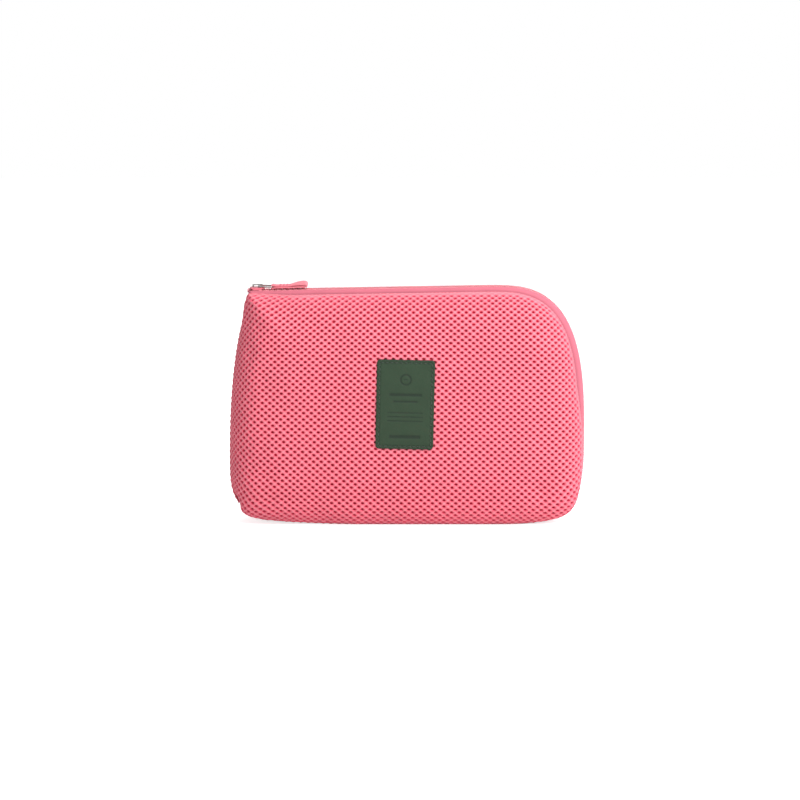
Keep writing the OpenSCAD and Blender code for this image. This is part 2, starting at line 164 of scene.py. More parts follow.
def by_side(values, d):
    """Blends values for the left, top, right and bottom by the way inwards."""
    left, top, right, bottom = values
    dx, dz = d[..., 0], d[..., 1]
    total = (left * np.maximum(dx, 0) ** 2 + top * np.maximum(-dz, 0) ** 2
             + right * np.maximum(-dx, 0) ** 2 + bottom * np.maximum(dz, 0) ** 2)
    return total / (dx * dx + dz * dz)


def stations(u):
    """Place, inward way and rim Y at distances u along the outline."""
    u = np.asarray(u, float) % ROUND_TRIP
    columns = np.stack([np.interp(u, RUN, TRACK[:, k]) for k in range(5)], -1)
    return columns[..., :2], columns[..., 2:4], columns[..., 4]


def all_round(count):
    """A column of count distances all the way round the outline."""
    return np.linspace(0, ROUND_TRIP, count, endpoint=False)[:, None]


def wall_at(place, d):
    """How far the wall stands inside the outline. Low on the right side it comes out to it."""
    fade = np.clip((place[..., 1] - 36) / 40, 0.3, 1)
    return by_side((WALL_IN[0], WALL_IN[1], WALL_IN[2] * fade, WALL_IN[3]), d)


def moved_in(place, d, inset, y):
    """Points at Y, an inset inwards from places on the outline."""
    return np.stack([place[..., 0] + inset * d[..., 0], y, place[..., 1] + inset * d[..., 1]], -1)


def surface(u, depth, phi):
    """Points of the front half's surface that lies depth deep in the wall. phi is 0 at the rim and a quarter
    turn at the flat face. Arrays are broadcast."""
    u, depth, phi = np.broadcast_arrays(u, depth, phi)
    place, d, rim = stations(u)
    inset = wall_at(place, d) + depth + np.maximum(
        0, (by_side(EDGE_ROUND, d) - depth) * (1 - np.cos(phi)) - by_side(FOOT, d))
    return moved_in(place, d, inset, -rim - (HALF_D - rim - depth) * np.sin(phi))


def in_wall(u, depth, y):
    """Points on the surface depth deep in the wall where it has the given Y."""
    rim = stations(u)[2]
    phi = np.arcsin(np.clip((-y - rim) / (HALF_D - rim - depth), 0, 1))
    points = surface(u, depth, phi)
    points[..., 1] = np.broadcast_to(y, points.shape[:-1])
    return points


def under_crest(u, depth, y):
    """Points depth below the zip's crest, at Y."""
    u, depth, y = np.broadcast_arrays(u, depth, y)
    place, d, _ = stations(u)
    return moved_in(place, d, depth + by_side(CREST_IN, d), y)


# ---------------- meshes

def grid_faces(rows, columns, wrap_rows=False, wrap_columns=False):
    """Quads over a grid of points stored row by row."""
    r = np.arange(rows if wrap_rows else rows - 1)[:, None]
    c = np.arange(columns if wrap_columns else columns - 1)[None, :]
    r1, c1 = (r + 1) % rows, (c + 1) % columns
    quads = np.stack([r * columns + c, r * columns + c1, r1 * columns + c1, r1 * columns + c], -1)
    return quads.reshape(-1, 4)


def new_mesh(name, points, face_sets, attributes=None):
    """A smooth mesh object from points in millimetres and arrays of faces, with no points left unused."""
    face_sets = [np.asarray(f, int) for f in face_sets if len(f)]
    used = np.unique(np.concatenate([f.ravel() for f in face_sets]))
    renumber = np.zeros(len(points), int)
    renumber[used] = np.arange(len(used))
    faces = [face for f in face_sets for face in renumber[f].tolist()]
    mesh = bpy.data.meshes.new(name)
    mesh.from_pydata((np.asarray(points)[used] * MM).tolist(), [], faces)
    for key, values in (attributes or {}).items():
        values = np.asarray(values, np.float32)[used]
        kind, field = ("FLOAT_VECTOR", "vector") if values.ndim == 2 else ("FLOAT", "value")
        mesh.attributes.new(key, kind, "POINT").data.foreach_set(field, values.ravel())
    mesh.validate()
    mesh.shade_smooth()
    obj = bpy.data.objects.new(name, mesh)
    bpy.context.scene.collection.objects.link(obj)
    return obj


def piece(name, shape, look, body=None, replaces=()):
    """A visible piece of one look. It rides on a body if one is given."""
    material, slot = look
    obj = new_mesh(name, *shape)
    obj.data.materials.append(material)
    if body:
        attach(obj, body)
    if replaces:
        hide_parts(*replaces)
    return obj


def mirrored(points, face_sets):
    """The rear half's copy of something in the front half."""
    return np.asarray(points) * (1, -1, 1), [np.asarray(f)[:, ::-1] for f in face_sets]


def both_halves(name, shape, look, replaces=None):
    """A rigid piece of each half, the rear one mirrored."""
    points, faces, *attributes = shape
    for half, side in (("front", (points, faces)), ("rear", mirrored(points, faces))):
        nodes = [f"{half}_{replaces}"] if replaces else ()
        piece(f"{half}_{name}", (*side, *attributes), look, f"{half}_half", nodes)


def bend(obj):
    """Bakes a spine piece's placement into its mesh; it rides on no body."""
    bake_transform(obj)


def layer(name, shape, look, replaces):
    """A cloth layer of both halves. What lies near the spine's middle is a third piece, which rides on no
    body.
    """
    points, face_sets, attributes = shape
    near = [(points[f][:, :, 1] > -SPINE_Y).any(1) for f in face_sets]
    rigid = [f[~n] for f, n in zip(face_sets, near)]
    both_halves(name, (points, rigid, attributes), look, replaces)
    front = [f[n] for f, n in zip(face_sets, near)]
    rear_points, rear = mirrored(points, front)
    faces = [np.concatenate([a, b + len(points)]) for a, b in zip(front, rear)]
    doubled = {key: np.concatenate([values, values]) for key, values in attributes.items()}
    bend(piece(f"spine_{name}", (np.concatenate([points, rear_points]), faces, doubled), look))


def swept(rings, closed_path=False):
    """Faces over rings of points, of shape (stations, section points, 3), capped where the path is open."""
    n, m = rings.shape[:2]
    faces = [grid_faces(n, m, closed_path, True)]
    if not closed_path:
        faces.append(np.array([np.arange(m)[::-1], (n - 1) * m + np.arange(m)]))
    return rings.reshape(-1, 3), faces


def unit(v):
    return v / np.maximum(np.linalg.norm(v, axis=-1, keepdims=True), 1e-9)


def run_along(path):
    """Distance along a path at each of its points."""
    return np.r_[0, np.cumsum(np.linalg.norm(np.diff(path, axis=0), axis=1))]


def circle(count):
    """Cosines and sines of count angles round a circle."""
    a = np.linspace(0, FULL_TURN, count, endpoint=False)
    return np.cos(a), np.sin(a)


def strip_layout(along, across):
    """The weave's own layout of a swept strip: each ring's distance along it, each section point's across."""
    along, across = np.broadcast_arrays(np.asarray(along)[:, None], across)
    return {"layout": np.stack([along, across, 0.0 * along], -1).reshape(-1, 3)}


def tube(path, up, radius, sides=6, flat=1):
    """A round wire along an open path. up is roughly square to it; flat squeezes the wire along up."""
    along = unit(np.gradient(path, axis=0))
    side = unit(np.cross(along, np.broadcast_to(up, path.shape)))
    rise = np.cross(side, along)
    cos, sin = circle(sides)
    ring = cos[None, :, None] * side[:, None] + flat * sin[None, :, None] * rise[:, None]
    return swept(path[:, None] + radius * ring)


def joined(shapes):
    """One shape from many."""
    points, faces, start = [], {}, 0
    for p, face_sets in shapes:
        for f in face_sets:
            faces.setdefault(f.shape[1], []).append(f + start)
        points.append(p)
        start += len(p)
    return np.concatenate(points), [np.concatenate(f) for f in faces.values()]


# A stitch from end to end: share of its length, its height and its thickness in thread radii
STITCH = np.array([(0, -1.6, 0.5), (0.08, -0.5, 0.85), (0.28, 0.5, 1), (0.5, 0.75, 1), (0.72, 0.5, 1),
                   (0.92, -0.5, 0.85), (1, -1.6, 0.5)])
STITCH_SIDES = 6


def stitch_row(starts, ends, outward, radius):
    """A sewn stitch between each pair of points: a short thread that dips into the cloth at both ends."""
    starts, ends = np.asarray(starts, float), np.asarray(ends, float)
    outward = unit(np.broadcast_to(outward, starts.shape).astype(float))
    side = unit(np.cross(ends - starts, outward))
    share, lift, girth = STITCH.T
    middle = (starts[:, None] + (ends - starts)[:, None] * share[:, None]
              + outward[:, None] * (lift * radius)[:, None])
    cos, sin = circle(STITCH_SIDES)
    ring = cos[:, None] * side[:, None, None] + sin[:, None] * outward[:, None, None]
    points = middle[:, :, None] + (girth * radius)[:, None, None] * ring
    _, one = swept(points[0])
    offset = (len(STITCH) * STITCH_SIDES * np.arange(len(starts)))[:, None, None]
    return points.reshape(-1, 3), [(f[None] + offset).reshape(-1, f.shape[1]) for f in one]


# ---------------- materials

class Nodes:
    """Short calls for the nodes of a new material or world."""

    def __init__(self, name, owners=None):
        owners = bpy.data.materials if owners is None else owners
        self.owner = owners.new(name)
        self.owner.use_nodes = True
        self.tree = self.owner.node_tree

    def put(self, socket, value):
        if isinstance(value, bpy.types.NodeSocket):
            self.tree.links.new(value, socket)
        elif isinstance(value, tuple) and len(value) == 3 and socket.type == "RGBA":
            socket.default_value = (*value, 1)
        else:
            socket.default_value = value

    def node(self, kind, inputs=None, **settings):
        node = self.tree.nodes.new(kind)
        for key, value in settings.items():
            setattr(node, key, value)
        for key, value in (inputs or {}).items():
            self.put(node.inputs[key], value)
        return node

    def math(self, operation, a, b=0.0):
        return self.node("ShaderNodeMath", {0: a, 1: b}, operation=operation).outputs[0]

    def attribute(self, name):
        return self.node("ShaderNodeAttribute", attribute_name=name)

    def place(self):
        """Places in the part's frame, in millimetres."""
        inputs = {0: self.node("ShaderNodeTexCoord").outputs["Object"], 1: (1 / MM,) * 3}
        return self.node("ShaderNodeVectorMath", inputs, operation="MULTIPLY").outputs[0]

    def noise(self, size, detail=3.0):
        """Noise from 0 to 1 whose lumps are about size millimetres."""
        inputs = {"Vector": self.place(), "Scale": 1 / size, "Detail": detail}
        return self.node("ShaderNodeTexNoise", inputs).outputs["Fac"]

    def spread(self, value, low, high):
        """Maps 0..1 to low..high."""
        inputs = {"Value": value, "To Min": low, "To Max": high}
        return self.node("ShaderNodeMapRange", inputs).outputs["Result"]

    def ramp(self, value, *stops):
        ramp = self.node("ShaderNodeValToRGB", {"Fac": value})
        elements = ramp.color_ramp.elements
        while len(elements) < len(stops):
            elements.new(0.5)
        for element, (place, colour) in zip(elements, stops):
            element.position = place
            element.color = (*colour, 1)
        return ramp.outputs["Color"]

    def mix(self, factor, a, b, blend="MIX"):
        node = self.node("ShaderNodeMix", data_type="RGBA", blend_type=blend)
        for key, value in ((0, factor), (6, a), (7, b)):
            self.put(node.inputs[key], value)
        return node.outputs[2]

    def bump(self, height, distance, normal=None):
        inputs = {"Height": height, "Distance": distance * MM, "Strength": 1.0}
        if normal:
            inputs["Normal"] = normal
        return self.node("ShaderNodeBump", inputs).outputs["Normal"]

    def yarns(self, pitch_u, pitch_v):
        """Waves along and across the piece's own layout."""
        parts = self.node("ShaderNodeSeparateXYZ", {0: self.attribute("layout").outputs["Vector"]})
        return [self.math("SINE", self.math("MULTIPLY", parts.outputs[k], FULL_TURN / pitch))
                for k, pitch in enumerate((pitch_u, pitch_v))]

    def finish(self, shader="Principled BSDF", **inputs):
        for key, value in inputs.items():
            self.put(self.tree.nodes[shader].inputs[key.replace("_", " ")], value)
        return self.owner


def mottled(n, colour, amount=0.12, size=14):
    """The colour, a little lighter and darker in soft patches and in fine specks."""
    patches = n.spread(n.noise(size), 1 - amount, 1 + amount)
    specks = n.spread(n.noise(0.5, 2.0), 1 - amount, 1 + amount)
    shade = n.math("MULTIPLY", patches, specks)
    grey = n.node("ShaderNodeCombineColor", {0: shade, 1: shade, 2: shade}).outputs[0]
    return n.mix(1.0, colour, grey, "MULTIPLY")


def mesh_cloth():
    n = Nodes("spacer_mesh")
    tone = n.attribute("tone").outputs["Fac"]
    # painted light: the tone lightens the knots as a painted highlight and darkens the holes as painted shade
    colour = n.ramp(tone, (0.0, (0.80, 0.095, 0.185)), (0.3, (0.83, 0.125, 0.190)),
                    (0.62, (0.87, 0.182, 0.238)), (1.0, (0.95, 0.310, 0.378)))
    yarn = n.noise(0.35, 4.0)
    return n.finish(Base_Color=mottled(n, colour, 0.07), Roughness=n.spread(yarn, 0.6, 0.85),
                    Normal=n.bump(yarn, 0.12), Sheen_Weight=0.3, Sheen_Roughness=0.45,
                    Sheen_Tint=(1.0, 0.40, 0.46), Specular_IOR_Level=0.35)


def plain_cloth(name, colour, pitch=(0.7, 0.7), depth=0.06, sheen=0.3, roughness=0.75, amount=0.1):
    n = Nodes(name)
    weave = n.math("MULTIPLY_ADD", n.math("MULTIPLY", *n.yarns(*pitch)), 0.5)
    normal = n.bump(n.noise(0.3, 3.0), 0.04, n.bump(weave, depth))
    dark = tuple(c * 0.55 for c in colour)
    shaded = n.mix(n.spread(weave, 0.25, 0.0), mottled(n, colour, amount), dark)
    # painted shade: the tape darkens along the groove beside the mesh, by a per-point attribute
    shaded = n.mix(n.attribute("seam").outputs["Fac"], shaded, dark)
    return n.finish(Base_Color=shaded, Roughness=n.spread(n.noise(2.0), roughness - 0.1, roughness + 0.1),
                    Normal=normal, Sheen_Weight=sheen, Sheen_Roughness=0.4, Sheen_Tint=(1.0, 0.55, 0.6),
                    Specular_IOR_Level=0.3)


def soft_foam():
    n = Nodes("foam")
    cells = n.noise(0.6, 4.0)
    colour = n.ramp(cells, (0.3, (0.46, 0.035, 0.065)), (0.75, (0.62, 0.07, 0.11)))
    return n.finish(Base_Color=colour, Roughness=0.95, Normal=n.bump(cells, 0.25), Specular_IOR_Level=0.15)


def nylon():
    n = Nodes("coil_nylon")
    grain = n.noise(0.4, 2.0)
    # paler than the tape: partly the coil's own colour, partly a painted highlight for the pale line along
    # the zip's crest
    return n.finish(Base_Color=mottled(n, (0.90, 0.36, 0.41), 0.08), Roughness=n.spread(grain, 0.3, 0.45),
                    Normal=n.bump(grain, 0.015))


def worn_plating(n):
    """Wear, and the colour of plated metal that has it."""
    wear = n.noise(1.2, 5.0)
    return wear, n.ramp(wear, (0.35, (0.36, 0.34, 0.33)), (0.7, (0.56, 0.54, 0.52)))


def plated_metal():
    n = Nodes("plated_metal")
    wear, colour = worn_plating(n)
    return n.finish(Base_Color=colour, Metallic=1.0, Roughness=n.spread(wear, 0.16, 0.34),
                    Normal=n.bump(n.noise(0.25), 0.01))


def painted_slider():
    """Pink enamel with a bare metal crown: the crown is the top third of the slider."""
    n = Nodes("painted_slider")
    generated = n.node("ShaderNodeTexCoord").outputs["Generated"]
    bare = n.math("GREATER_THAN", n.node("ShaderNodeSeparateXYZ", {0: generated}).outputs[2], 0.69)
    wear, plating = worn_plating(n)
    colour = n.mix(bare, mottled(n, (0.80, 0.19, 0.25), 0.08), plating)
    return n.finish(Base_Color=colour, Metallic=bare, Roughness=n.spread(wear, 0.18, 0.36),
                    Normal=n.bump(n.noise(0.25), 0.01), Coat_Weight=0.3)


def leather():
    n = Nodes("label_leather")
    cells = n.node("ShaderNodeTexVoronoi", {"Vector": n.place(), "Scale": 1.5}, feature="DISTANCE_TO_EDGE")
    creases = n.ramp(cells.outputs["Distance"], (0.0, (0, 0, 0)), (0.22, (1, 1, 1)))
    pressed = n.attribute("tone").outputs["Fac"]
    face = mottled(n, (0.028, 0.056, 0.029), 0.16, 9)
    colour = n.mix(pressed, face, (0.014, 0.028, 0.017))
    normal = n.bump(n.noise(0.4, 4.0), 0.05, n.bump(creases, 0.045))
    return n.finish(Base_Color=colour, Roughness=n.spread(n.noise(3.0), 0.5, 0.7), Normal=normal,
                    Specular_IOR_Level=0.3)


def thread(name, colour):
    n = Nodes(name)
    twist = n.noise(0.22, 2.0)
    return n.finish(Base_Color=mottled(n, colour, 0.18, 3), Roughness=0.7, Normal=n.bump(twist, 0.06),
                    Sheen_Weight=0.3)


def ribbed_elastic():
    n = Nodes("ribbed_elastic")
    fine, ribs = n.yarns(0.55, 1.5)
    height = n.math("MULTIPLY_ADD", n.math("ADD", ribs, n.math("MULTIPLY", fine, 0.4)), 0.35)
    base = mottled(n, (0.72, 0.12, 0.20), 0.1)
    colour = n.mix(n.spread(ribs, 0.35, 0.0), base, (0.36, 0.04, 0.08))
    return n.finish(Base_Color=colour, Roughness=0.72, Normal=n.bump(height, 0.12), Sheen_Weight=0.3)


# A look is a material and the name of one of the part's slots.
MESH = mesh_cloth(), "spacer_mesh"
TAPE = plain_cloth("zip_tape_weave", (0.75, 0.190, 0.258), (1.3, 0.9), 0.16), "zip_fabric"
WEBBING = plain_cloth("tab_webbing", (0.86, 0.235, 0.29), (0.8, 0.8), 0.07), "zip_fabric"
BINDING = plain_cloth("binding_weave", (0.78, 0.14, 0.195), (0.8, 0.5), 0.07), "zip_fabric"
# the hem is the mesh's own cloth, coloured darker as painted shade for the shadowed groove between tape and
# mesh
SHADED_HEM = plain_cloth("hem_knit_painted_shade", (0.66, 0.095, 0.135), (0.8, 0.6), 0.08), "spacer_mesh"
LINING = plain_cloth("lining_weave", (0.86, 0.30, 0.37), (0.5, 0.5), 0.035, 0.15, 0.6), "lining"
NET = plain_cloth("pocket_net_knit", (0.80, 0.17, 0.26), (0.6, 0.6), 0.05), "pocket_net"
ELASTIC = ribbed_elastic(), "elastic"
FOAM = soft_foam(), "foam"
NYLON = nylon(), "zip_coil"
METAL = plated_metal()
PAINTED = painted_slider()
LEATHER = leather(), "label_leather"
GREEN_THREAD = thread("green_thread", (0.026, 0.050, 0.030)), "label_thread"
PINK_THREAD = thread("pink_thread", (0.93, 0.34, 0.40)), "pink_thread"
RED_THREAD = thread("red_thread", (0.55, 0.05, 0.11)), "pink_thread"


# ---------------- swelling of the closed pouch

def closed_pouch():
    """The pouch's outside as one closed mesh: both rounded halves joined across the zip."""
    front = surface(all_round(160), 0.0, np.linspace(0, QUARTER_TURN, 9))
    rings = np.concatenate([front[:, ::-1], front * (1, -1, 1)], 1)
    n, m = rings.shape[:2]
    ends = [np.arange(n) * m, (np.arange(n) * m + m - 1)[::-1]]
    return new_mesh("closed_pouch", rings.reshape(-1, 3), [grid_faces(n, m, True), *(e[None] for e in ends)])


def apply_modifiers(obj):
    """A new mesh with the object's modifiers applied."""
    evaluated = obj.evaluated_get(bpy.context.evaluated_depsgraph_get())
    return bpy.data.meshes.new_from_object(evaluated)


def coordinates(mesh):
    co = np.zeros(len(mesh.vertices) * 3, np.float32)
    mesh.vertices.foreach_get("co", co)
    return co.reshape(-1, 3).astype(float) / MM


VOXEL = 5
PRESSURE, TENSION, BENDING = 4, 30, 4
SWELL_FRAMES = 20
# What is held: this far from the zip's plane along the zip and near the spine, and this low
ZIP_HOLD, SPINE_HOLD, FOOT_HOLD = 9, 5, 1.5
NEAR_SPINE = 12


def is_held(points):
    """Which points of the closed pouch don't move: beside its zip, at its spine and under it."""
    x, y, z = points.T
    at_zip = (abs(y) < ZIP_HOLD) & (x > NEAR_SPINE - HALF_W)
    return at_zip | (abs(y) < SPINE_HOLD) | (z < FOOT_HOLD)


def simulate_swelling():
    """Inflates the closed pouch as cloth. Returns the rest mesh's points and triangles, and how far each
    point moved."""
    obj = closed_pouch()
    remesh = obj.modifiers.new("even", "REMESH")
    remesh.mode = "VOXEL"
    remesh.voxel_size = VOXEL * MM
    obj.data = apply_modifiers(obj)
    obj.modifiers.clear()
    rest = coordinates(obj.data)
    pins = obj.vertex_groups.new(name="held")
    pins.add(np.flatnonzero(is_held(rest)).tolist(), 1.0, "REPLACE")
    cloth = obj.modifiers.new("cloth", "CLOTH").settings
    cloth.vertex_group_mass = "held"
    cloth.use_pressure = True
    cloth.uniform_pressure_force = PRESSURE
    cloth.effector_weights.gravity = 0
    cloth.tension_stiffness = TENSION
    cloth.bending_stiffness = BENDING
    for frame_number in range(1, SWELL_FRAMES + 1):
        bpy.context.scene.frame_set(frame_number)
        bpy.context.view_layer.update()
    moved = coordinates(apply_modifiers(obj)) - rest
    far = np.linalg.norm(moved, axis=1, keepdims=True)
    moved *= SWELL_CAP * np.tanh(far / SWELL_CAP) / np.maximum(far, 1e-6)
    bpy.context.scene.frame_set(1)
    faces = [tuple(p.vertices) for p in obj.data.polygons]
    triangles = [(f[0], f[k], f[k + 1]) for f in faces for k in range(1, len(f) - 1)]
    bpy.data.objects.remove(obj)
    return rest, np.array(triangles), moved


def weights_in(tree_points, triangles, tree, points):
    """For each point, the nearest triangle's corners, its weights there, and how far away it is."""
    found = [tree.find_nearest(Vector(p)) for p in points]
    corners = triangles[[f[2] for f in found]]
    hit = np.array([f[0] for f in found])
    a, b, c = (tree_points[corners[:, k]] for k in range(3))
    e0, e1, e2 = b - a, c - a, hit - a
    d00, d01, d11 = (e0 * e0).sum(1), (e0 * e1).sum(1), (e1 * e1).sum(1)
    d20, d21 = (e2 * e0).sum(1), (e2 * e1).sum(1)
    scale = np.maximum(d00 * d11 - d01 * d01, 1e-12)
    v, w = (d11 * d20 - d01 * d21) / scale, (d00 * d21 - d01 * d20) / scale
    return corners, np.stack([1 - v - w, v, w], 1), np.array([f[3] for f in found])


CLOTH_REST, CLOTH_TRIANGLES, CLOTH_MOVED = simulate_swelling()
CLOTH_TREE = BVHTree.FromPolygons(CLOTH_REST.tolist(), CLOTH_TRIANGLES.tolist())


def ripples(x, z):
    """Soft unevenness of cloth over padding, between about -1.6 and 1.6."""
    return (np.sin(x / 11 + 1.3 * np.sin(z / 17)) * np.sin(z / 9 + 0.9 * np.sin(x / 21 + 1))
            + 0.6 * np.sin((x + z) / 6.5 + 2) * np.sin((x - 2 * z) / 23))


RIPPLE = 0.16
PINCH, PINCH_REACH = np.array([1.04, 0, 0.78]), 3       # how the cloth is drawn in at the notch
LOW_LEFT_LIFT = 1.7             # the lower edge rises this much towards the spine
FLOOR_GAP = 0.05                # the cloth stays this far above the floor


def swell(points):
    """Points of the front half's outside, moved as the simulated cloth moved, with a few soft ripples, the
    pinch at the zip's end, the lifted lower left and the full corners."""
    points = np.asarray(points, float)
    x, y, z = points.T
    corners, weights, _ = weights_in(CLOTH_REST, CLOTH_TRIANGLES, CLOTH_TREE, points)
    moved = (CLOTH_MOVED[corners] * weights[..., None]).sum(1)
    moved[:, 1] -= RIPPLE * ripples(x, z) * np.clip((-y - 11) / 9, 0, 1)
    to_notch = np.hypot(x - NOTCH[0], z - NOTCH[1])
    moved += PINCH * np.exp(-(to_notch / PINCH_REACH) ** 2)[:, None]
    moved[:, 2] += LOW_LEFT_LIFT * np.clip((-x - 25) / 45, 0, 1) ** 1.5 * np.clip(1 - z / 30, 0, 1)
    for corner_x, corner_z, way, reach, depths in FULL_CORNERS:
        close = np.exp(-((x - corner_x) ** 2 + (z - corner_z) ** 2) / reach ** 2)
        moved[:, [0, 2]] += np.outer(close * np.interp(-y, depths, (0, 1)), way)
    out = points + moved
    out[:, 2] = np.maximum(out[:, 2], FLOOR_GAP)
    return out


# ---------------- the outer cloth, laid out flat

def flat_layout():
    """The rounded band of the front half laid out flat round its face: flat places, real places, ways out,
    the distance left to the rim, triangles, and the face's own edge."""
    count, bands = 420, 17
    u = all_round(count)
    real = surface(u, 0.0, np.linspace(QUARTER_TURN, 0, bands))
    step = np.linalg.norm(np.diff(real, axis=1), axis=2)
    arc = np.concatenate([np.zeros((count, 1)), np.cumsum(step, 1)], 1)
    flat = real[:, :1, ::2] - unit(stations(u)[1]) * arc[..., None]
    across = np.gradient(real, axis=1)
    along = np.roll(real, -1, 0) - np.roll(real, 1, 0)
    way_out = unit(np.cross(across, along))
    way_out[:, 0] = (0, -1, 0)
    way_out *= np.sign((way_out * (real - (0, 0, TOP_Z / 2))).sum(-1, keepdims=True))
    quads = grid_faces(count, bands, True)
    triangles = np.concatenate([quads[:, :3], quads[:, [0, 2, 3]]])
    return (flat.reshape(-1, 2), real.reshape(-1, 3), way_out.reshape(-1, 3),
            (arc[:, -1:] - arc).ravel(), triangles, flat[:, 0])


FLAT, REAL, WAY_OUT, TO_RIM, FLAT_TRIANGLES, FACE_EDGE = flat_layout()
FLAT_POINTS = np.c_[FLAT, np.zeros(len(FLAT))]
FLAT_TREE = BVHTree.FromPolygons(FLAT_POINTS.tolist(), FLAT_TRIANGLES.tolist())
FACE_MIDDLE = FACE_EDGE.mean(0)


def on_face(points):
    """Which flat points lie on the flat face, inside the rounded band."""
    edge, p = FACE_EDGE - FACE_MIDDLE, points - FACE_MIDDLE
    angle = np.arctan2(edge[:, 1], edge[:, 0])
    order = np.argsort(angle)
    reach = np.interp(np.arctan2(p[:, 1], p[:, 0]), angle[order], np.hypot(*edge.T)[order], period=FULL_TURN)
    return np.hypot(*p.T) < reach


def wrap(points):
    """Wraps flat points round the front half: real places, ways out, and the distance left to the rim, which
    is below zero for points that lie past it."""
    flat = np.c_[points, np.zeros(len(points))]
    corners, weights, gap = weights_in(FLAT_POINTS, FLAT_TRIANGLES, FLAT_TREE, flat)
    real = (REAL[corners] * weights[..., None]).sum(1)
    out = unit((WAY_OUT[corners] * weights[..., None]).sum(1))
    left = (TO_RIM[corners] * weights).sum(1) - gap
    face = on_face(points)
    real[face] = np.c_[points[face, 0], np.full(face.sum(), -HALF_D), points[face, 1]]
    out[face] = (0, -1, 0)
    left[face] = HALF_D
    return swell(real), out, left


# Outline of a net's cell, in quarters of the pitch from its hole's middle: knots and strand middles in turn
CELL = np.array([(2, 0), (1, 1), (0, 2), (-1, 1), (-2, 0), (-1, -1), (0, -2), (1, -1)])
CELL_ANGLES = np.radians(np.arange(8) * 45)
SLIVER = 0.02                   # faces with less than half this area are left out


def net_cells(low, high, half):
    """The diamond cells that cover a box: their middles, their corners in quarter pitches, and the eight
    corners that each cell has."""
    first, last = np.floor(np.array(low) / half).astype(int), np.ceil(np.array(high) / half).astype(int)
    m, n = (g.ravel() for g in np.meshgrid(*(np.arange(a, b + 1) for a, b in zip(first, last))))
    cells = np.c_[m, n][(m + n) % 2 == 0]
    keys, index = np.unique((2 * cells[:, None] + CELL).reshape(-1, 2), axis=0, return_inverse=True)
    return cells * half, keys, index.reshape(-1, 8)


def hole_outlines(hole, turn):
    """Eight places round each hole from its middle, for holes turned by different angles."""
    across, up = np.cos(CELL_ANGLES) * hole[0], np.sin(CELL_ANGLES) * hole[1]
    cos, sin = np.cos(turn)[:, None], np.sin(turn)[:, None]
    return np.stack([cos * across - sin * up, sin * across + cos * up], -1)


def net(low, high, pitch, hole, place, knot=0.32, thickness=MESH_T, margin=1.2, tilt=None):
    """A knitted net with a hole in every diamond cell of the box. place(points) gives real places, ways out
    and room left to the edge; cells too near the edge are closed. tilt(points) is how far the holes are
    turned. The tone runs from 1 on a knot to 0 deep in a hole; the outer cloth's colour uses it as a painted
    highlight on the knots and painted shade in the holes."""
    half = np.array(pitch) / 2
    middles, keys, index = net_cells(low, high, half)
    is_knot = (keys % 2 == 0).all(1)
    parts = []

    def add(flat, height, tone):
        real, out, room = place(flat)
        points = real + out * np.reshape(height, (-1, 1))
        parts.append((points, np.broadcast_to(tone, len(flat)), np.c_[flat, np.zeros(len(flat))]))
        return room

    room = add(keys * half / 2, np.where(is_knot, knot, 0.5 * knot), np.where(is_knot, 1.0, 0.62))
    is_open = (room[index] > margin).all(1)
    is_closed = ~is_open & (room[index] > 0).any(1)
    holes, before = middles[is_open], index[is_open]
    outlines = hole_outlines(hole, tilt(holes) if tilt else np.zeros(len(holes)))
    start, faces = len(keys), []
    # rings from each cell's edge down into its hole, their tone falling towards painted shade at its bottom
    for size, height, tone in ((1.3, 0.12, 0.55), (1.0, -0.25, 0.22), (0.9, -thickness, 0.0)):
        add((holes[:, None] + size * outlines).reshape(-1, 2), height, tone)
        ring = start + np.arange(8 * len(holes)).reshape(-1, 8)
        sides = [before, np.roll(before, -1, 1), np.roll(ring, -1, 1), ring]
        faces.append(np.stack(sides, -1).reshape(-1, 4))
        before, start = ring, start + ring.size
    add(middles[is_closed], 0.1, 0.5)
    rim = index[is_closed]
    hub = np.repeat(start + np.arange(len(rim)), 8).reshape(-1, 8)
    fans = np.stack([rim, np.roll(rim, -1, 1), hub], -1).reshape(-1, 3)
    points, tone, layout = (np.concatenate(column) for column in zip(*parts))
    a, b, c = (points[fans[:, k]] for k in range(3))
    fans = fans[np.linalg.norm(np.cross(b - a, c - a), axis=1) > SLIVER]
    return points, [np.concatenate(faces), fans], {"tone": tone, "layout": layout}


MIDDLE_Z = 60
LEAN, LEAN_START, LEAN_RUN = 0.038, 60, 100     # the columns' lean grows over this run towards the spine
ROW_SPREAD, LEVEL_Z = 0.0009, 65                # the rows keep their pitch at this height
FAR_SLANT = -9


def drift(points):
    """Where the cloth's own grid lies on the flat layout: its columns lean with the spine, and its rows
    spread towards the bottom."""
    x, z = points.T
    lean = LEAN * (z - MIDDLE_Z) * np.clip((LEAN_START - x) / LEAN_RUN, 0, 1)
    return np.c_[x + lean, z + ROW_SPREAD * (LEVEL_Z * z - z * z / 2)]


def hole_tilt(points):
    """The holes' slant in radians: near the spine it follows the corners, and further off it is slight."""
    near_spine = np.clip(-points[:, 0] / 80, 0, 1)
    return np.radians(0.42 * (points[:, 1] - 62) * near_spine + FAR_SLANT * (1 - near_spine))


def outer_mesh():
    """The outer cloth of both halves and of the spine between them."""
    low, high = FLAT.min(0) - 10, FLAT.max(0) + 10
    points, *rest = net(low, high, PITCH, HOLE, lambda p: wrap(drift(p)), tilt=hole_tilt)
    points[:, 2] = np.maximum(points[:, 2], 0)
    layer("outer_mesh", (points, *rest), MESH, "mesh")


# ---------------- layers behind it

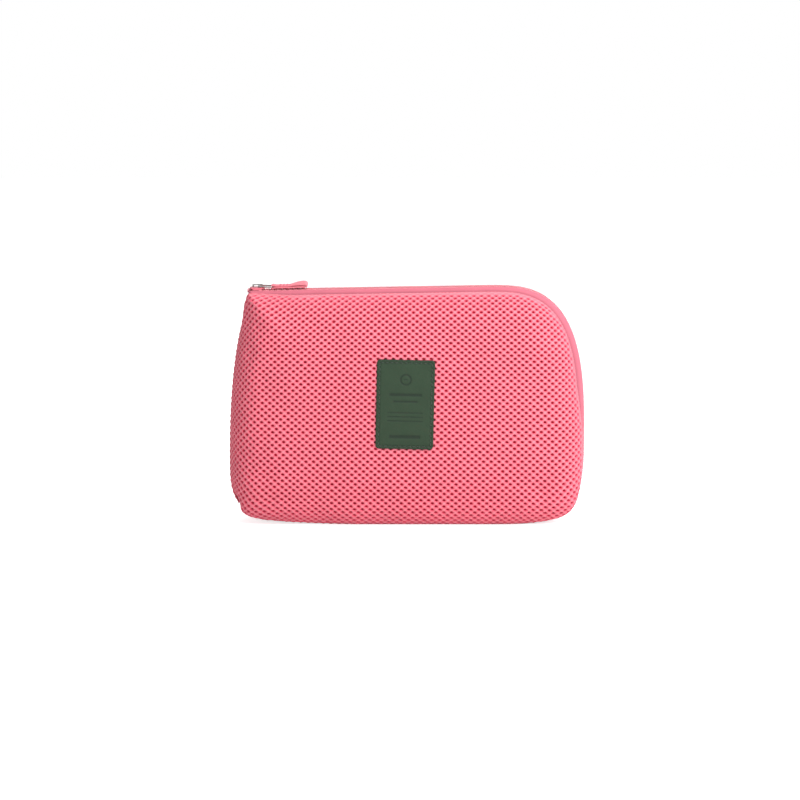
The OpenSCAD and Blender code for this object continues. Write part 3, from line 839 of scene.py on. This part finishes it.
def shell(depth_out, depth_in, follow):
    """A closed layer of the front half between two depths. Its outer side can follow the swollen cloth."""
    count, arcs, spokes = 300, 12, 9
    shares = np.linspace(0.04, 1, spokes, endpoint=False)[None, :, None]
    sides = []
    for depth in (depth_out, depth_in):
        band = surface(all_round(count), depth, np.linspace(QUARTER_TURN, 0, arcs))
        middle = band[:, 0].mean(0)
        sides.append(np.concatenate([middle + (band[:, :1] - middle) * shares, band], 1))
    if follow:
        outside = sides[0].reshape(-1, 3)
        moved = outside + swell(outside + (0, -depth_out, 0)) - outside + (0, depth_out, 0)
        sides[0] = moved.reshape(sides[0].shape)
    rings = np.concatenate([sides[0], sides[1][:, ::-1]], 1)
    points = rings.reshape(-1, 3)
    columns = rings.shape[1]
    quads = grid_faces(count, columns, True)
    in_slit = (points[quads][:, :, 1] > -0.01).all(1)
    first = (np.arange(count) * columns)[None]
    layout = np.c_[points[:, 0], points[:, 2], np.zeros(len(points))]
    return points, [quads[~in_slit], first, first[:, ::-1] + columns - 1], {"layout": layout}


def inner_layers():
    layer("padding", shell(MESH_T - 0.05, PADDING_IN, True), FOAM, "foam")
    points, *rest = shell(LINING_OUT, LINING_IN, False)
    x, y, z = points.T
    crease = (np.sin(x / 7 + 2 * np.sin(z / 19)) * np.sin(z / 12 + np.sin(x / 15))
              + 0.5 * np.sin((x + 2 * z) / 5))
    points[:, 1] -= 0.12 * crease * np.clip((-y - 9) / 4, 0, 1)
    layer("lining_cloth", (points, *rest), LINING, "lining")


# ---------------- zip

ZIP_STEP = 1.2
CORNER_SKIP = 0.2               # the zip's parts begin this far along the outline
TAPE_TAIL = 1.7                 # how far the tape goes on past the corner, under the top stops
COIL_TURN = 1.25
COIL_STEP = COIL_TURN / 11
HEM_R = 0.95


def zip_stations(start=CORNER_SKIP, end=ZIP_END, step=ZIP_STEP):
    return np.linspace(start, end, int((end - start) / step) + 1)


def stations_out(u):
    """The way out of the pouch at each station, square to Y."""
    d = unit(stations(u)[1])
    return np.stack([-d[:, 0], 0 * d[:, 0], -d[:, 1]], -1)


def tape_middle(u, share, lift):
    """The tape's free part between the coil and the flange, a little uneven along its length."""
    a, b = under_crest(u, 0.22, -4.7), in_wall(u, 2.0, -7.9)
    wave = 0.10 * np.sin(u / 6.1) + 0.07 * np.sin(u / 2.9 + 1)
    way = unit(0.8 * stations_out(u) - (0, 1, 0))
    return a + (b - a) * share + way * (lift + wave)[:, None]


# The tape's section, from under the coil to the flange behind the mesh and back. The numbers are depth and Y,
# or the share of the way and the lift in its middle.
TAPE_SECTION = [
    (under_crest, [(0.95, -0.5), (0.74, -0.5), (0.72, -2.3), (0.22, -2.8), (0.22, -4.6)]),
    (tape_middle, [(0.25, 0.10), (0.5, 0.16), (0.75, 0.10)]),
    (in_wall, [(2.05, -8.4), (2.05, -10.4), (2.45, -10.4), (2.45, -8.2)]),
    (tape_middle, [(0.75, -0.42), (0.5, -0.36), (0.25, -0.42)]),
    (under_crest, [(0.68, -4.4), (0.68, -2.9), (0.92, -2.4)])]
# Painted shade along the groove between tape and mesh: where across the tape it lies, and its width
SEAM_SHADE_ACROSS, SEAM_SHADE_WIDTH = 7.6, 1.1


def zip_tapes():
    """Woven tape on both sides of the coil, with a painted shade line along the groove where it is sewn to
    the mesh.
    """
    u = zip_stations()
    rings = np.stack([spot_at(u, *spot) for spot_at, spots in TAPE_SECTION for spot in spots], 1)
    rings = np.concatenate([rings[:1] - (TAPE_TAIL, 0, 0), rings])
    u = np.r_[u[0] - TAPE_TAIL, u]
    across = run_along(rings[len(u) // 2])
    attributes = strip_layout(u, across)
    # painted shade: a soft dark line where the groove beside the mesh lies in shadow
    attributes["seam"] = np.tile(0.8 * np.exp(-((across - SEAM_SHADE_ACROSS) / SEAM_SHADE_WIDTH) ** 2), len(u))
    both_halves("tape_cloth", (*swept(rings), attributes), TAPE, "zip_tape")


def coil(u, centre, across, out, reach, height, phase):
    """A zip coil whose loops lie across and stand out, reach and height being half its size."""
    angle = FULL_TURN * u / COIL_TURN + phase
    offset = (reach * np.cos(angle)[:, None] * np.asarray(across)
              + height * np.sin(angle)[:, None] * np.asarray(out))
    return centre + offset, unit(offset)


def zip_coils():
    """A coil on each half's tape, from the top stops to the bottom stop, their loops in turn."""
    u = np.arange(0.3, ZIP_END - 2.2, COIL_STEP)
    for half, sign, phase in (("front", -1, 0.0), ("rear", 1, math.pi)):
        centre = under_crest(u, 0.12, sign * 1.35)
        wire = tube(*coil(u, centre, (0, 1, 0), stations_out(u), 0.76, 0.34, phase), 0.29)
        piece(f"{half}_coil_helix", wire, NYLON, f"{half}_half", [f"{half}_zip_coil"])


def hems():
    """The mesh's edge turned under beside the tape, and the row of stitches that holds it."""
    u = zip_stations(0.4, ZIP_END - 0.4, 1.0)
    sway = 0.16 * np.sin(FULL_TURN * u / 3.53) + 0.1 * np.sin(u / 4.7)
    path = swell(in_wall(u, 0.85 + 0.3 * sway, -stations(u)[2] - 0.15 + sway))
    path[:, 2] = np.maximum(path[:, 2], HEM_R)
    sides = 10
    roll = tube(path, stations_out(u), HEM_R, sides, 0.95)
    both_halves("hem", (*roll, strip_layout(u, np.arange(sides) / sides * 6)), SHADED_HEM)
    begin = zip_stations(4, ZIP_END - 4, 3.2)
    ends = [under_crest(begin + k, 0.2, -4.5) for k in (0, 2.3)]
    both_halves("tape_stitches", stitch_row(*ends, stations_out(begin), 0.17), PINK_THREAD)


# Section of the binding inside each rim: depth in the wall, and Y past the rim
BINDING_SECTION = [(3.4, 0.5), (5.2, 0.62), (6.4, 0.58), (6.75, -0.1), (6.7, -1.3), (6.3, -2.0), (6.05, -1.4),
                   (6.05, -0.2), (5.2, 0.1), (3.4, 0.1)]


def inner_bindings():
    """Folded binding over the raw edges of padding and lining, inside each rim and round the spine's ends."""
    u = zip_stations(-8.8, ZIP_END + 3, 1.6)
    wave = 0.12 * np.sin(u / 5.3) + 0.08 * np.sin(u / 2.3)
    rim = stations(u)[2]
    rings = np.stack([in_wall(u, depth + wave * (depth > 6), np.minimum(y - rim, -0.3))
                      for depth, y in BINDING_SECTION], 1)
    layout = strip_layout(u, 0.9 * np.arange(len(BINDING_SECTION)))
    layer("inner_binding", (*swept(rings), layout), BINDING, "seam_binding")
    begin = zip_stations(8, ZIP_END - 8, 3.4)
    ends = [in_wall(begin + k, 6.72, -1.0 - stations(begin)[2]) for k in (0, 2.4)]
    both_halves("binding_stitches", stitch_row(*ends, (0, 0.4, 0) - stations_out(begin), 0.16), PINK_THREAD)


def spine_reach(u):
    """Half the width of the strip down the spine."""
    return np.maximum(3.4, stations(u)[2] + 1.2)


def spine_row(u, share, height):
    """Points over the outside of the spine, at a share of the strip's half width."""
    y = share * spine_reach(u)
    points = in_wall(u, 0.0, -abs(y))
    points[:, 1] = y
    return points + stations_out(u) * height


def spine_binding():
    """Woven strip sewn down the outside of the spine, its ends turned in under the zip's ends."""
    turned_in = np.array([-6, -3.5, -1.5])
    u = np.linspace(ZIP_END + 1, ROUND_TRIP - 1.9, 130)
    depth = np.r_[turned_in, 0 * u, turned_in[::-1]][:, None]
    u = np.r_[[u[0]] * 3, u, [u[-1]] * 3]
    half = np.array([-1, -0.95, -0.6, -0.3, 0, 0.3, 0.6, 0.95, 1])
    rings = [spine_row(u, share, depth + (0.2 if abs(share) == 1 else 0.5)) for share in half]
    rings += [spine_row(u, share, depth - 0.15) for share in half[::-1]]
    layout = strip_layout(u, np.outer(spine_reach(u), np.r_[half, half[::-1]]))
    strip = (*swept(np.stack(rings, 1)), layout)
    bend(piece("spine_binding", strip, BINDING, replaces=["spine_fold"]))
    begin = np.arange(ZIP_END + 3, ROUND_TRIP - 6, 3.2)
    out = stations_out(begin)
    rows = [stitch_row(spine_row(begin, share, 0.5), spine_row(begin + 2.3, share, 0.5), out, 0.18)
            for share in (-0.78, 0.78)]
    bend(piece("spine_stitches", joined(rows), PINK_THREAD))


# ---------------- label

LABEL_LOW, LABEL_HIGH = node_box("label_patch")
LABEL_MIDDLE = (LABEL_LOW + LABEL_HIGH) / 2
LABEL_HALF = ((LABEL_HIGH - LABEL_LOW) / 2)[[0, 2]]
LABEL_T, LABEL_CORNER, LABEL_TURN = 1.0, 1.8, math.radians(-1.3)
STITCH_IN, STITCH_PITCH, STITCH_LENGTH = 1.5, 2.4, 1.6

# Plain marks pressed into the label. Bars: centre height, half width and half height. Ring: centre height,
# radius and half width.
BARS = [(13.2, 1.1, 0.3), (5.2, 8.6, 0.75), (1.6, 6.4, 0.5), (-4.4, 9.4, 0.28), (-6.6, 9.4, 0.28),
        (-8.8, 9.4, 0.28), (-17.2, 8.2, 0.9)]
RING_Z, RING_R, RING_W = 13.2, 2.7, 0.42
MARK_SOFT = 0.22


def smooth_face(x, z):
    """Y of the swollen front face under a stiff patch: a smooth quadric through sampled places."""
    steps = [np.linspace(LABEL_LOW[k], LABEL_HIGH[k], count) for k, count in ((0, 12), (2, 16))]
    gx, gz = (g.ravel() for g in np.meshgrid(*steps))
    sampled = swell(np.c_[gx, np.full(len(gx), -HALF_D), gz])[:, 1]

    def terms(x, z):
        a, b = (x - LABEL_MIDDLE[0]) / 20, (z - LABEL_MIDDLE[2]) / 20
        return np.stack([np.ones_like(a), a, b, a * a, a * b, b * b], -1)

    return terms(x, z) @ np.linalg.lstsq(terms(gx, gz), sampled, rcond=None)[0]


def over_face(x, z, height):
    """Places in the part's frame for places on the label, height above the swollen cloth."""
    cos, sin = math.cos(LABEL_TURN), math.sin(LABEL_TURN)
    real_x, real_z = LABEL_MIDDLE[0] + x * cos - z * sin, LABEL_MIDDLE[2] + x * sin + z * cos
    return np.stack([real_x, smooth_face(real_x, real_z) - height, real_z], -1)


def edge_step(distance):
    """1 inside an edge, 0 outside, smooth across it."""
    t = np.clip(0.5 - distance / MARK_SOFT / 2, 0, 1)
    return t * t * (3 - 2 * t)


def label_marks(x, z):
    """How deep the marks are pressed in, from 0 to 1."""
    marks = edge_step(abs(np.hypot(x, z - RING_Z) - RING_R) - RING_W)
    for centre, w, h in BARS:
        marks = np.maximum(marks, edge_step(np.maximum(abs(x) - w, abs(z - centre) - h)))
    return marks


def past_corner_centres(x, z):
    """How far places lie past the centres of the label's rounded corners, in x and in z."""
    return np.maximum(abs(np.stack([x, z])) - LABEL_HALF[:, None, None] + LABEL_CORNER, 0)


def label_grid(nx, nz):
    """Places on the label, pulled in at its rounded corners, and each one's distance to the edge."""
    w, h = LABEL_HALF
    x, z = np.meshgrid(np.linspace(-w, w, nx), np.linspace(-h, h, nz))
    over = past_corner_centres(x, z)
    pull = 1 - 1 / np.maximum(np.hypot(*over) / LABEL_CORNER, 1)
    x -= np.sign(x) * over[0] * pull
    z -= np.sign(z) * over[1] * pull
    reach = np.hypot(*past_corner_centres(x, z))
    inside = np.maximum(abs(x) - w, abs(z) - h) + LABEL_CORNER
    return x, z, LABEL_CORNER - np.where(reach > 0, reach, inside)


def label():
    """Leather patch with a rounded edge, pressed marks and a groove that its stitches pucker."""
    nx, nz = 124, 190
    x, z, to_edge = label_grid(nx, nz)
    rounding = np.clip(1 - to_edge / 0.45, 0, 1)
    marks = label_marks(x, z)
    groove = np.exp(-((to_edge - STITCH_IN) / 0.55) ** 2)
    along = np.where(abs(x) > LABEL_HALF[0] - 3, z, x)
    pucker = 0.5 + 0.5 * np.cos(FULL_TURN * along / STITCH_PITCH)
    height = LABEL_T - 0.4 * rounding ** 2.2 - 0.16 * marks - (0.14 + 0.08 * pucker) * groove
    points = np.concatenate([over_face(x, z, height).reshape(-1, 3), over_face(x, z, -0.35).reshape(-1, 3)])
    quads, count = grid_faces(nz, nx), nx * nz
    ids = np.arange(count).reshape(nz, nx)
    edge = np.r_[ids[0], ids[1:, -1], ids[-1, -2::-1], ids[-2:0:-1, 0]]
    skirt = np.stack([edge, edge + count, np.roll(edge, -1) + count, np.roll(edge, -1)], -1)
    worn = np.clip(0.8 * marks + 0.35 * groove + 0.5 * rounding, 0, 1)
    shape = points, [quads[:, ::-1], quads + count, skirt], {"tone": np.r_[worn.ravel(), np.ones(count)]}
    piece("label_leather", shape, LEATHER, "front_half", ["label_patch"])


def label_thread():
    """A row of stitches inside each edge of the label."""
    w, h = LABEL_HALF - STITCH_IN
    ends = ([], [])
    for reach, side, turned in ((w, h, False), (h, w, True)):
        count = int(2 * reach / STITCH_PITCH)
        spots = 2 * reach * ((np.arange(count) + 0.5) / count - 0.5)
        for sign in (-1, 1):
            for end, shift in zip(ends, (-STITCH_LENGTH / 2, STITCH_LENGTH / 2)):
                line = np.c_[spots + shift, np.full(count, sign * side)]
                end.append(line[:, ::-1] if turned else line)
    starts, stops = (over_face(*np.concatenate(end).T, LABEL_T - 0.02) for end in ends)
    row = stitch_row(starts, stops, (0, -1, 0), 0.24)
    piece("label_thread", row, GREEN_THREAD, "front_half", ["label_stitches"])


# ---------------- puller tab

TAB_LOW, TAB_HIGH = node_box("pull_tab")
TAB_HINGE = np.array(JOINTS["tab_hinge"]["pos_m"]) / MM
TAB_W, TAB_T, TAB_BEVEL = (TAB_HIGH - TAB_LOW)[1], 0.75, 0.2
ZIP_RUN = JOINTS["slider_travel"]["axis"]
SLOPE = math.atan2(ZIP_RUN[2], ZIP_RUN[0])
TAB_LIE = np.array([[math.cos(SLOPE), 0, math.sin(SLOPE)], [0, 1, 0],
                    [-math.sin(SLOPE), 0, math.cos(SLOPE)]])

# Middle line of the webbing, from the link's bar: how far out, and how high
TAB_BAR_R = 0.8
TAB_UNDER = [(2.0, -0.45), (4.2, -0.42), (8.0, -0.42), (10.2, -0.4), (12.6, -0.34), (15.0, -0.3),
             (17.0, -0.26)]
TAB_OVER = [(17.0, 1.5), (15.0, 1.52), (12.8, 1.3), (10.6, 0.86), (8.6, 0.46), (4.2, 0.42), (2.0, 0.45)]


def on_tab(points):
    """Places in the part's frame from places on the tab, which lies along the zip's top run."""
    return TAB_HINGE + points @ TAB_LIE


def tab_path():
    """Closed middle line of the webbing: round the bar, out below, round the outer end and back above."""
    a = np.radians(np.linspace(60, 300, 15))
    loop = TAB_BAR_R * np.c_[np.cos(a), np.sin(a)]
    length = (TAB_HIGH[0] - TAB_HINGE[0]) / math.cos(SLOPE) - TAB_T / 2
    turn = [(length - 0.1, 0.1), (length + 0.1, 0.62), (length - 0.1, 1.15)]
    return closed_curve(np.concatenate([loop, TAB_UNDER, turn, TAB_OVER]), 12)


def tab_section():
    """Corners of the webbing's bevelled section: across and out."""
    corners = []
    for across, out in ((-1, -1), (1, -1), (1, 1), (-1, 1)):
        for a, b in ((1, 0), (0.7, 0.7), (0, 1)):
            if across * out < 0:
                a, b = b, a
            corners.append((across * (TAB_W / 2 - TAB_BEVEL + TAB_BEVEL * a),
                            out * (TAB_T / 2 - TAB_BEVEL + TAB_BEVEL * b)))
    return np.array(corners)


def tab():
    """Folded webbing looped round the link's far bar, sewn flat, its outer end standing open as a loop."""
    path = tab_path()
    across, out = tab_section().T
    along = unit(np.roll(path, -1, 0) - np.roll(path, 1, 0))
    normal = np.c_[along[:, 1], -along[:, 0]]
    # the upper layer leans forward towards its outer end
    lean = 0.19 * np.clip((path[:, 0] - 8) / 8, 0, 1) * np.clip((path[:, 1] + 0.3) / 1.7, 0, 1)
    flat = path[:, None] + normal[:, None] * out[None, :, None]
    flat[..., 1] += lean[:, None] * across
    local = np.stack([flat[..., 0], np.broadcast_to(across, flat.shape[:2]), flat[..., 1]], -1)
    webbing = (*swept(on_tab(local), True), strip_layout(run_along(path), across))
    piece("tab_webbing_loop", webbing, WEBBING, "pull_tab", ["pull_tab"])


def tab_stitches(x, y, step, height, side):
    """Stitches on one side of the tab, each one step long. x or y may be a row of places."""
    starts = np.stack(np.broadcast_arrays(x, y, side * height), -1)
    return stitch_row(on_tab(starts), on_tab(starts + step), (0, 0, side), 0.17)


def tab_thread():
    """Stitches down both edges of the tab and across it, on its upper and lower side."""
    x, y = np.arange(3.4, 8.6, 1.8), np.arange(-2.2, 1.6, 1.3)
    rows = []
    for side in (1, -1):
        for edge in (0.9 - TAB_W / 2, TAB_W / 2 - 0.9):
            rows.append(tab_stitches(x, edge, (1.3, 0, 0), 0.82, side))
        rows.append(tab_stitches(9.0, y, (0, 0.9, 0), 0.88, side))
    piece("tab_thread", joined(rows), RED_THREAD, "pull_tab", ["tab_stitches"])


def closed_curve(knots, per_span):
    """A smooth closed curve through the knots (Catmull-Rom)."""
    t = (np.arange(per_span) / per_span)[:, None]
    p0, p1, p2, p3 = (np.roll(knots, -k, 0)[:, None] for k in (-1, 0, 1, 2))
    curve = 0.5 * (2 * p1 + (p2 - p0) * t + (2 * p0 - 5 * p1 + 4 * p2 - p3) * t ** 2
                   + (3 * p1 - p0 - 3 * p2 + p3) * t ** 3)
    return curve.reshape(-1, 2)


# ---------------- inside

# Section of a flat band with rounded edges: shares of its half width and of its thickness
BAND_V = np.array([-1, -0.97, -0.7, -0.35, 0, 0.35, 0.7, 0.97])
BAND_V = np.r_[BAND_V, -BAND_V]
BAND_H = np.array([0] + [0.5] * 7 + [0] + [-0.5] * 7)


def ribbon(path, across, thick, wide, bulge=0.0):
    """A flat band. path and across give its middle and its width's way; bulge crowns it."""
    across = np.broadcast_to(unit(np.asarray(across, float)), path.shape)
    out = unit(np.cross(unit(np.gradient(path, axis=0)), across))
    v = BAND_V * wide / 2
    rise = BAND_H * thick + bulge * (1 - BAND_V * BAND_V)
    rings = path[:, None] + across[:, None] * v[:, None] + out[:, None] * rise[:, None]
    return *swept(rings), strip_layout(run_along(path), v)


TACK_W = 4
# Each strap's node, the name of its piece, and the length of its loops
LOOPS = {"upper_loop_strap": ("upper_elastic", 20), "lower_loop_strap": ("lower_elastic", 35)}


def strap_path(low, high, chord, level):
    """Middle line of a strap sewn flat between equal arches, and the X of each bar tack between them."""
    pitch = chord + TACK_W
    count = round((high[0] - low[0] - TACK_W) / pitch)
    rise = level - 0.5 - low[1]
    radius = (chord * chord / 4 + rise * rise) / (2 * rise)
    x = np.linspace(0, chord, 25)[1:-1]
    arch = np.sqrt(radius ** 2 - (x - chord / 2) ** 2) - (radius - rise)
    lefts = low[0] + TACK_W + pitch * np.arange(count)
    path = []
    for left in lefts:
        path += [(left - TACK_W, level), (left - TACK_W / 2, level), (left, level)]
        path += list(zip(left + x, level - arch))
    path += [(high[0] - TACK_W, level), (high[0] - TACK_W / 2, level), (high[0], level)]
    tacks = np.r_[lefts, low[0] + TACK_W + pitch * count] - TACK_W / 2
    return np.array([(x, y, (low[2] + high[2]) / 2) for x, y in path]), tacks


def elastic_loops():
    """Elastic bands sewn down between their loops, with zigzag bar tacks."""
    tacks = []
    for node, (name, chord) in LOOPS.items():
        low, high = node_box(node)
        level = high[1] - 0.5
        path, middles = strap_path(low, high, chord, level)
        band = ribbon(path, (0, 0, 1), 0.85, high[2] - low[2])
        piece(name, band, ELASTIC, "rear_half", [node])
        z = np.arange(low[2] + 1, high[2] - 1, 0.45)
        for middle in middles:
            zigzag = np.c_[middle + 0.8 * (-1.0) ** np.arange(len(z)), np.full(len(z), level - 0.52), z]
            tacks.append(tube(zigzag, (0, -1, 0), 0.2))
    piece("elastic_tack_thread", joined(tacks), RED_THREAD, "rear_half", ["strap_bar_tacks"])


def pocket_panel():
    """Knitted net panel on the inside of the front half, a little full in its middle."""
    low, high = node_box("pocket_net")
    middle, half = (low + high) / 2, (high - low) / 2

    def place(points):
        x, z = points[:, 0] - middle[0], points[:, 1] - middle[2]
        inside = np.minimum(half[0] - abs(x), half[2] - abs(z))
        x, z = np.clip(x, -half[0], half[0]), np.clip(z, -half[2], half[2])
        crown = (1 - (x / half[0]) ** 2) * (1 - (z / half[2]) ** 2)
        y = high[1] + 1.6 * np.clip(crown, 0, 1) ** 0.7 + 0.15 * np.sin(x / 7) * np.sin(z / 9)
        out = np.broadcast_to((0.0, 1.0, 0.0), (len(points), 3))
        return np.c_[middle[0] + x, y, middle[2] + z], out, inside

    box = low[[0, 2]], high[[0, 2]]
    points, faces, attributes = net(*box, (3.7, 3.2), (1.25, 1.05), place, 0.08, 0.32, 1.5)
    panel = points, [f[:, ::-1] for f in faces], attributes
    piece("pocket_net_knit", panel, NET, "front_half", ["pocket_net"])


def pocket_binding():
    """Binding sewn round the sides and foot of the net panel."""
    low, high = node_box("pocket_edge_binding")
    inset, corner = 3, 8
    left, right, foot, top = low[0] + inset, high[0] - inset, low[2] + inset, high[2] - 0.5
    turn = np.radians(np.linspace(0, 90, 10))
    near, far = corner * (1 - np.cos(turn)), corner * (1 - np.sin(turn))
    path = np.concatenate([
        [(left, z) for z in np.linspace(top, foot + corner, 30)[:-1]],
        np.c_[left + near, foot + far],
        [(x, foot) for x in np.linspace(left + corner, right - corner, 50)[1:-1]],
        np.c_[right - far, foot + near],
        [(right, z) for z in np.linspace(foot + corner, top, 30)[1:]]])
    path = np.c_[path[:, 0], np.full(len(path), (low[1] + high[1]) / 2), path[:, 1]]
    across = unit(np.cross(np.gradient(path, axis=0), (0, 1, 0)))
    band = ribbon(path, across, 1.3, 2 * inset, 0.12)
    piece("pocket_binding_cloth", band, BINDING, "front_half", ["pocket_edge_binding"])
    start, step = path[2:-2], 0.62 * (path[3:-1] - path[2:-2])
    lines = [start + across[2:-2] * offset + (0, 0.66, 0) for offset in (-2.2, 2.2)]
    rows = [stitch_row(line, line + step, (0, 1, 0), 0.16) for line in lines]
    piece("pocket_binding_stitches", joined(rows), PINK_THREAD, "front_half")


def level_path(x, low, high):
    """Points at each x along the middle of a box."""
    _, y, z = (low + high) / 2
    return np.c_[x, np.full(len(x), y), np.full(len(x), z)]


def pocket_zip():
    """Tapes and coils of the pocket's own zip."""
    for side, phase in (("lower", 0.0), ("upper", math.pi)):
        low, high = node_box(f"pocket_{side}_tape")
        x = np.linspace(low[0], high[0], 120)
        path = level_path(x, low, high)
        path[:, 2] += 0.12 * np.sin(x / 6)
        tape = ribbon(path, (0, 0, -1), 0.42, high[2] - low[2] + 0.3)
        piece(f"pocket_{side}_tape_cloth", tape, TAPE, "front_half", [f"pocket_{side}_tape"])
        low, high = node_box(f"pocket_{side}_coil")
        u = np.arange(low[0], high[0], COIL_STEP)
        wire = tube(*coil(u, level_path(u, low, high), (0, 0, 1), (0, 1, 0), 0.46, 0.3, phase), 0.2)
        piece(f"pocket_{side}_helix", wire, NYLON, "front_half", [f"pocket_{side}_coil"])


# ---------------- metal and moulded pieces kept from the CAD

KEPT = {"slider_body": PAINTED, "rear_top_stop": NYLON[0], "front_top_stop": NYLON[0], "pull_link": METAL,
        "zip_bottom_stop": METAL, "pocket_end_stops": METAL, "pocket_slider": METAL, "pocket_pull": METAL}
WELD, BEVEL = 0.005, 0.14


def metal_parts():
    """The CAD's own metal and moulded pieces, with their edges softened by a bevel."""
    for name, material in KEPT.items():
        obj = frame["nodes"][name]
        obj.data.materials.clear()
        obj.data.materials.append(material)
        obj.modifiers.new("weld", "WELD").merge_threshold = WELD * MM
        if name != "pull_link":         # a round wire
            bevel = obj.modifiers.new("bevel", "BEVEL")
            bevel.width = BEVEL * MM
            bevel.segments = 2
            bevel.limit_method = "ANGLE"
            bevel.angle_limit = math.radians(35)


# ---------------- stage

# Area lights: place in metres, size and power
LIGHTS = {"key": ((0.45, -0.52, 0.62), 0.5, 8.8), "fill": ((-0.8, -0.8, 0.35), 0.9, 0.8),
          "rim": ((0.1, 0.7, 0.8), 0.6, 4), "back": ((0.4, 0.9, 0.3), 0.7, 3)}
LIGHT_AIM, CAMERA_AIM = (0, 0, 0.06), (0, 0, 0.064)
FLOOR_HALF, FLOOR_Z = 3000, -0.05
FLOOR_GLOW, WORLD_LIGHT = 0.75, 0.38
CAMERA_DISTANCE, CAMERA_RISE = 1.25, math.radians(9)
WIDTH_SHARE = 0.4418            # the pouch's share of the picture's width
SHIFT = (-0.0089, 0.0033)
SENSOR = 36


def add_aimed(name, data, place, aim):
    """An object at a place in metres whose -Z looks at aim."""
    obj = bpy.data.objects.new(name, data)
    obj.location = place
    obj.rotation_euler = (Vector(aim) - Vector(place)).to_track_quat("-Z", "Y").to_euler()
    bpy.context.scene.collection.objects.link(obj)
    return obj


def add_floor():
    """Pale floor that looks nearly white to the camera only, and can be seen through from below."""
    n = Nodes("floor")
    seen = n.node("ShaderNodeLightPath").outputs["Is Camera Ray"]
    material = n.finish(Base_Color=(0.8, 0.8, 0.8), Roughness=0.9, Emission_Color=(1, 1, 1),
                        Emission_Strength=n.spread(seen, 0.0, FLOOR_GLOW))
    top = n.tree.nodes["Principled BSDF"].outputs[0]
    see_through = n.node("ShaderNodeBsdfTransparent").outputs[0]
    below = n.node("ShaderNodeNewGeometry").outputs["Backfacing"]
    both = n.node("ShaderNodeMixShader", {0: below, 1: top, 2: see_through})
    n.finish("Material Output", Surface=both.outputs[0])
    corners = [(x * FLOOR_HALF, y * FLOOR_HALF, FLOOR_Z) for x, y in ((-1, -1), (1, -1), (1, 1), (-1, 1))]
    ground = new_mesh("floor", corners, [[[0, 1, 2, 3]]])
    ground.data.materials.append(material)


def add_world():
    """White surroundings that light the pouch less than they show."""
    n = Nodes("studio", bpy.data.worlds)
    seen = n.node("ShaderNodeLightPath").outputs["Is Camera Ray"]
    world = n.finish("Background", Color=(1, 1, 1), Strength=n.spread(seen, WORLD_LIGHT, 1.0))
    bpy.context.scene.world = world


def add_lights():
    """Soft lights from the front, the left, above behind, and behind."""
    for name, (place, size, power) in LIGHTS.items():
        light = bpy.data.lights.new(name, "AREA")
        light.size, light.energy = size, power
        add_aimed(name, light, place, LIGHT_AIM)


def add_camera():
    """A camera a little above the pouch, which puts it where it stands in the picture."""
    camera = bpy.data.cameras.new("camera")
    camera.lens = SENSOR * WIDTH_SHARE * CAMERA_DISTANCE / (2 * HALF_W * MM)
    camera.shift_x, camera.shift_y = SHIFT
    camera.clip_end = 20
    away = Vector((0, -math.cos(CAMERA_RISE), math.sin(CAMERA_RISE)))
    place = Vector(CAMERA_AIM) + CAMERA_DISTANCE * away
    bpy.context.scene.camera = add_aimed("camera", camera, place, CAMERA_AIM)


outer_mesh()
inner_layers()
zip_tapes()
zip_coils()
hems()
inner_bindings()
spine_binding()
label()
label_thread()
tab()
tab_thread()
elastic_loops()
pocket_panel()
pocket_binding()
pocket_zip()
metal_parts()

bpy.context.scene.view_settings.view_transform = "Standard"
add_floor()
add_world()
add_lights()
add_camera()
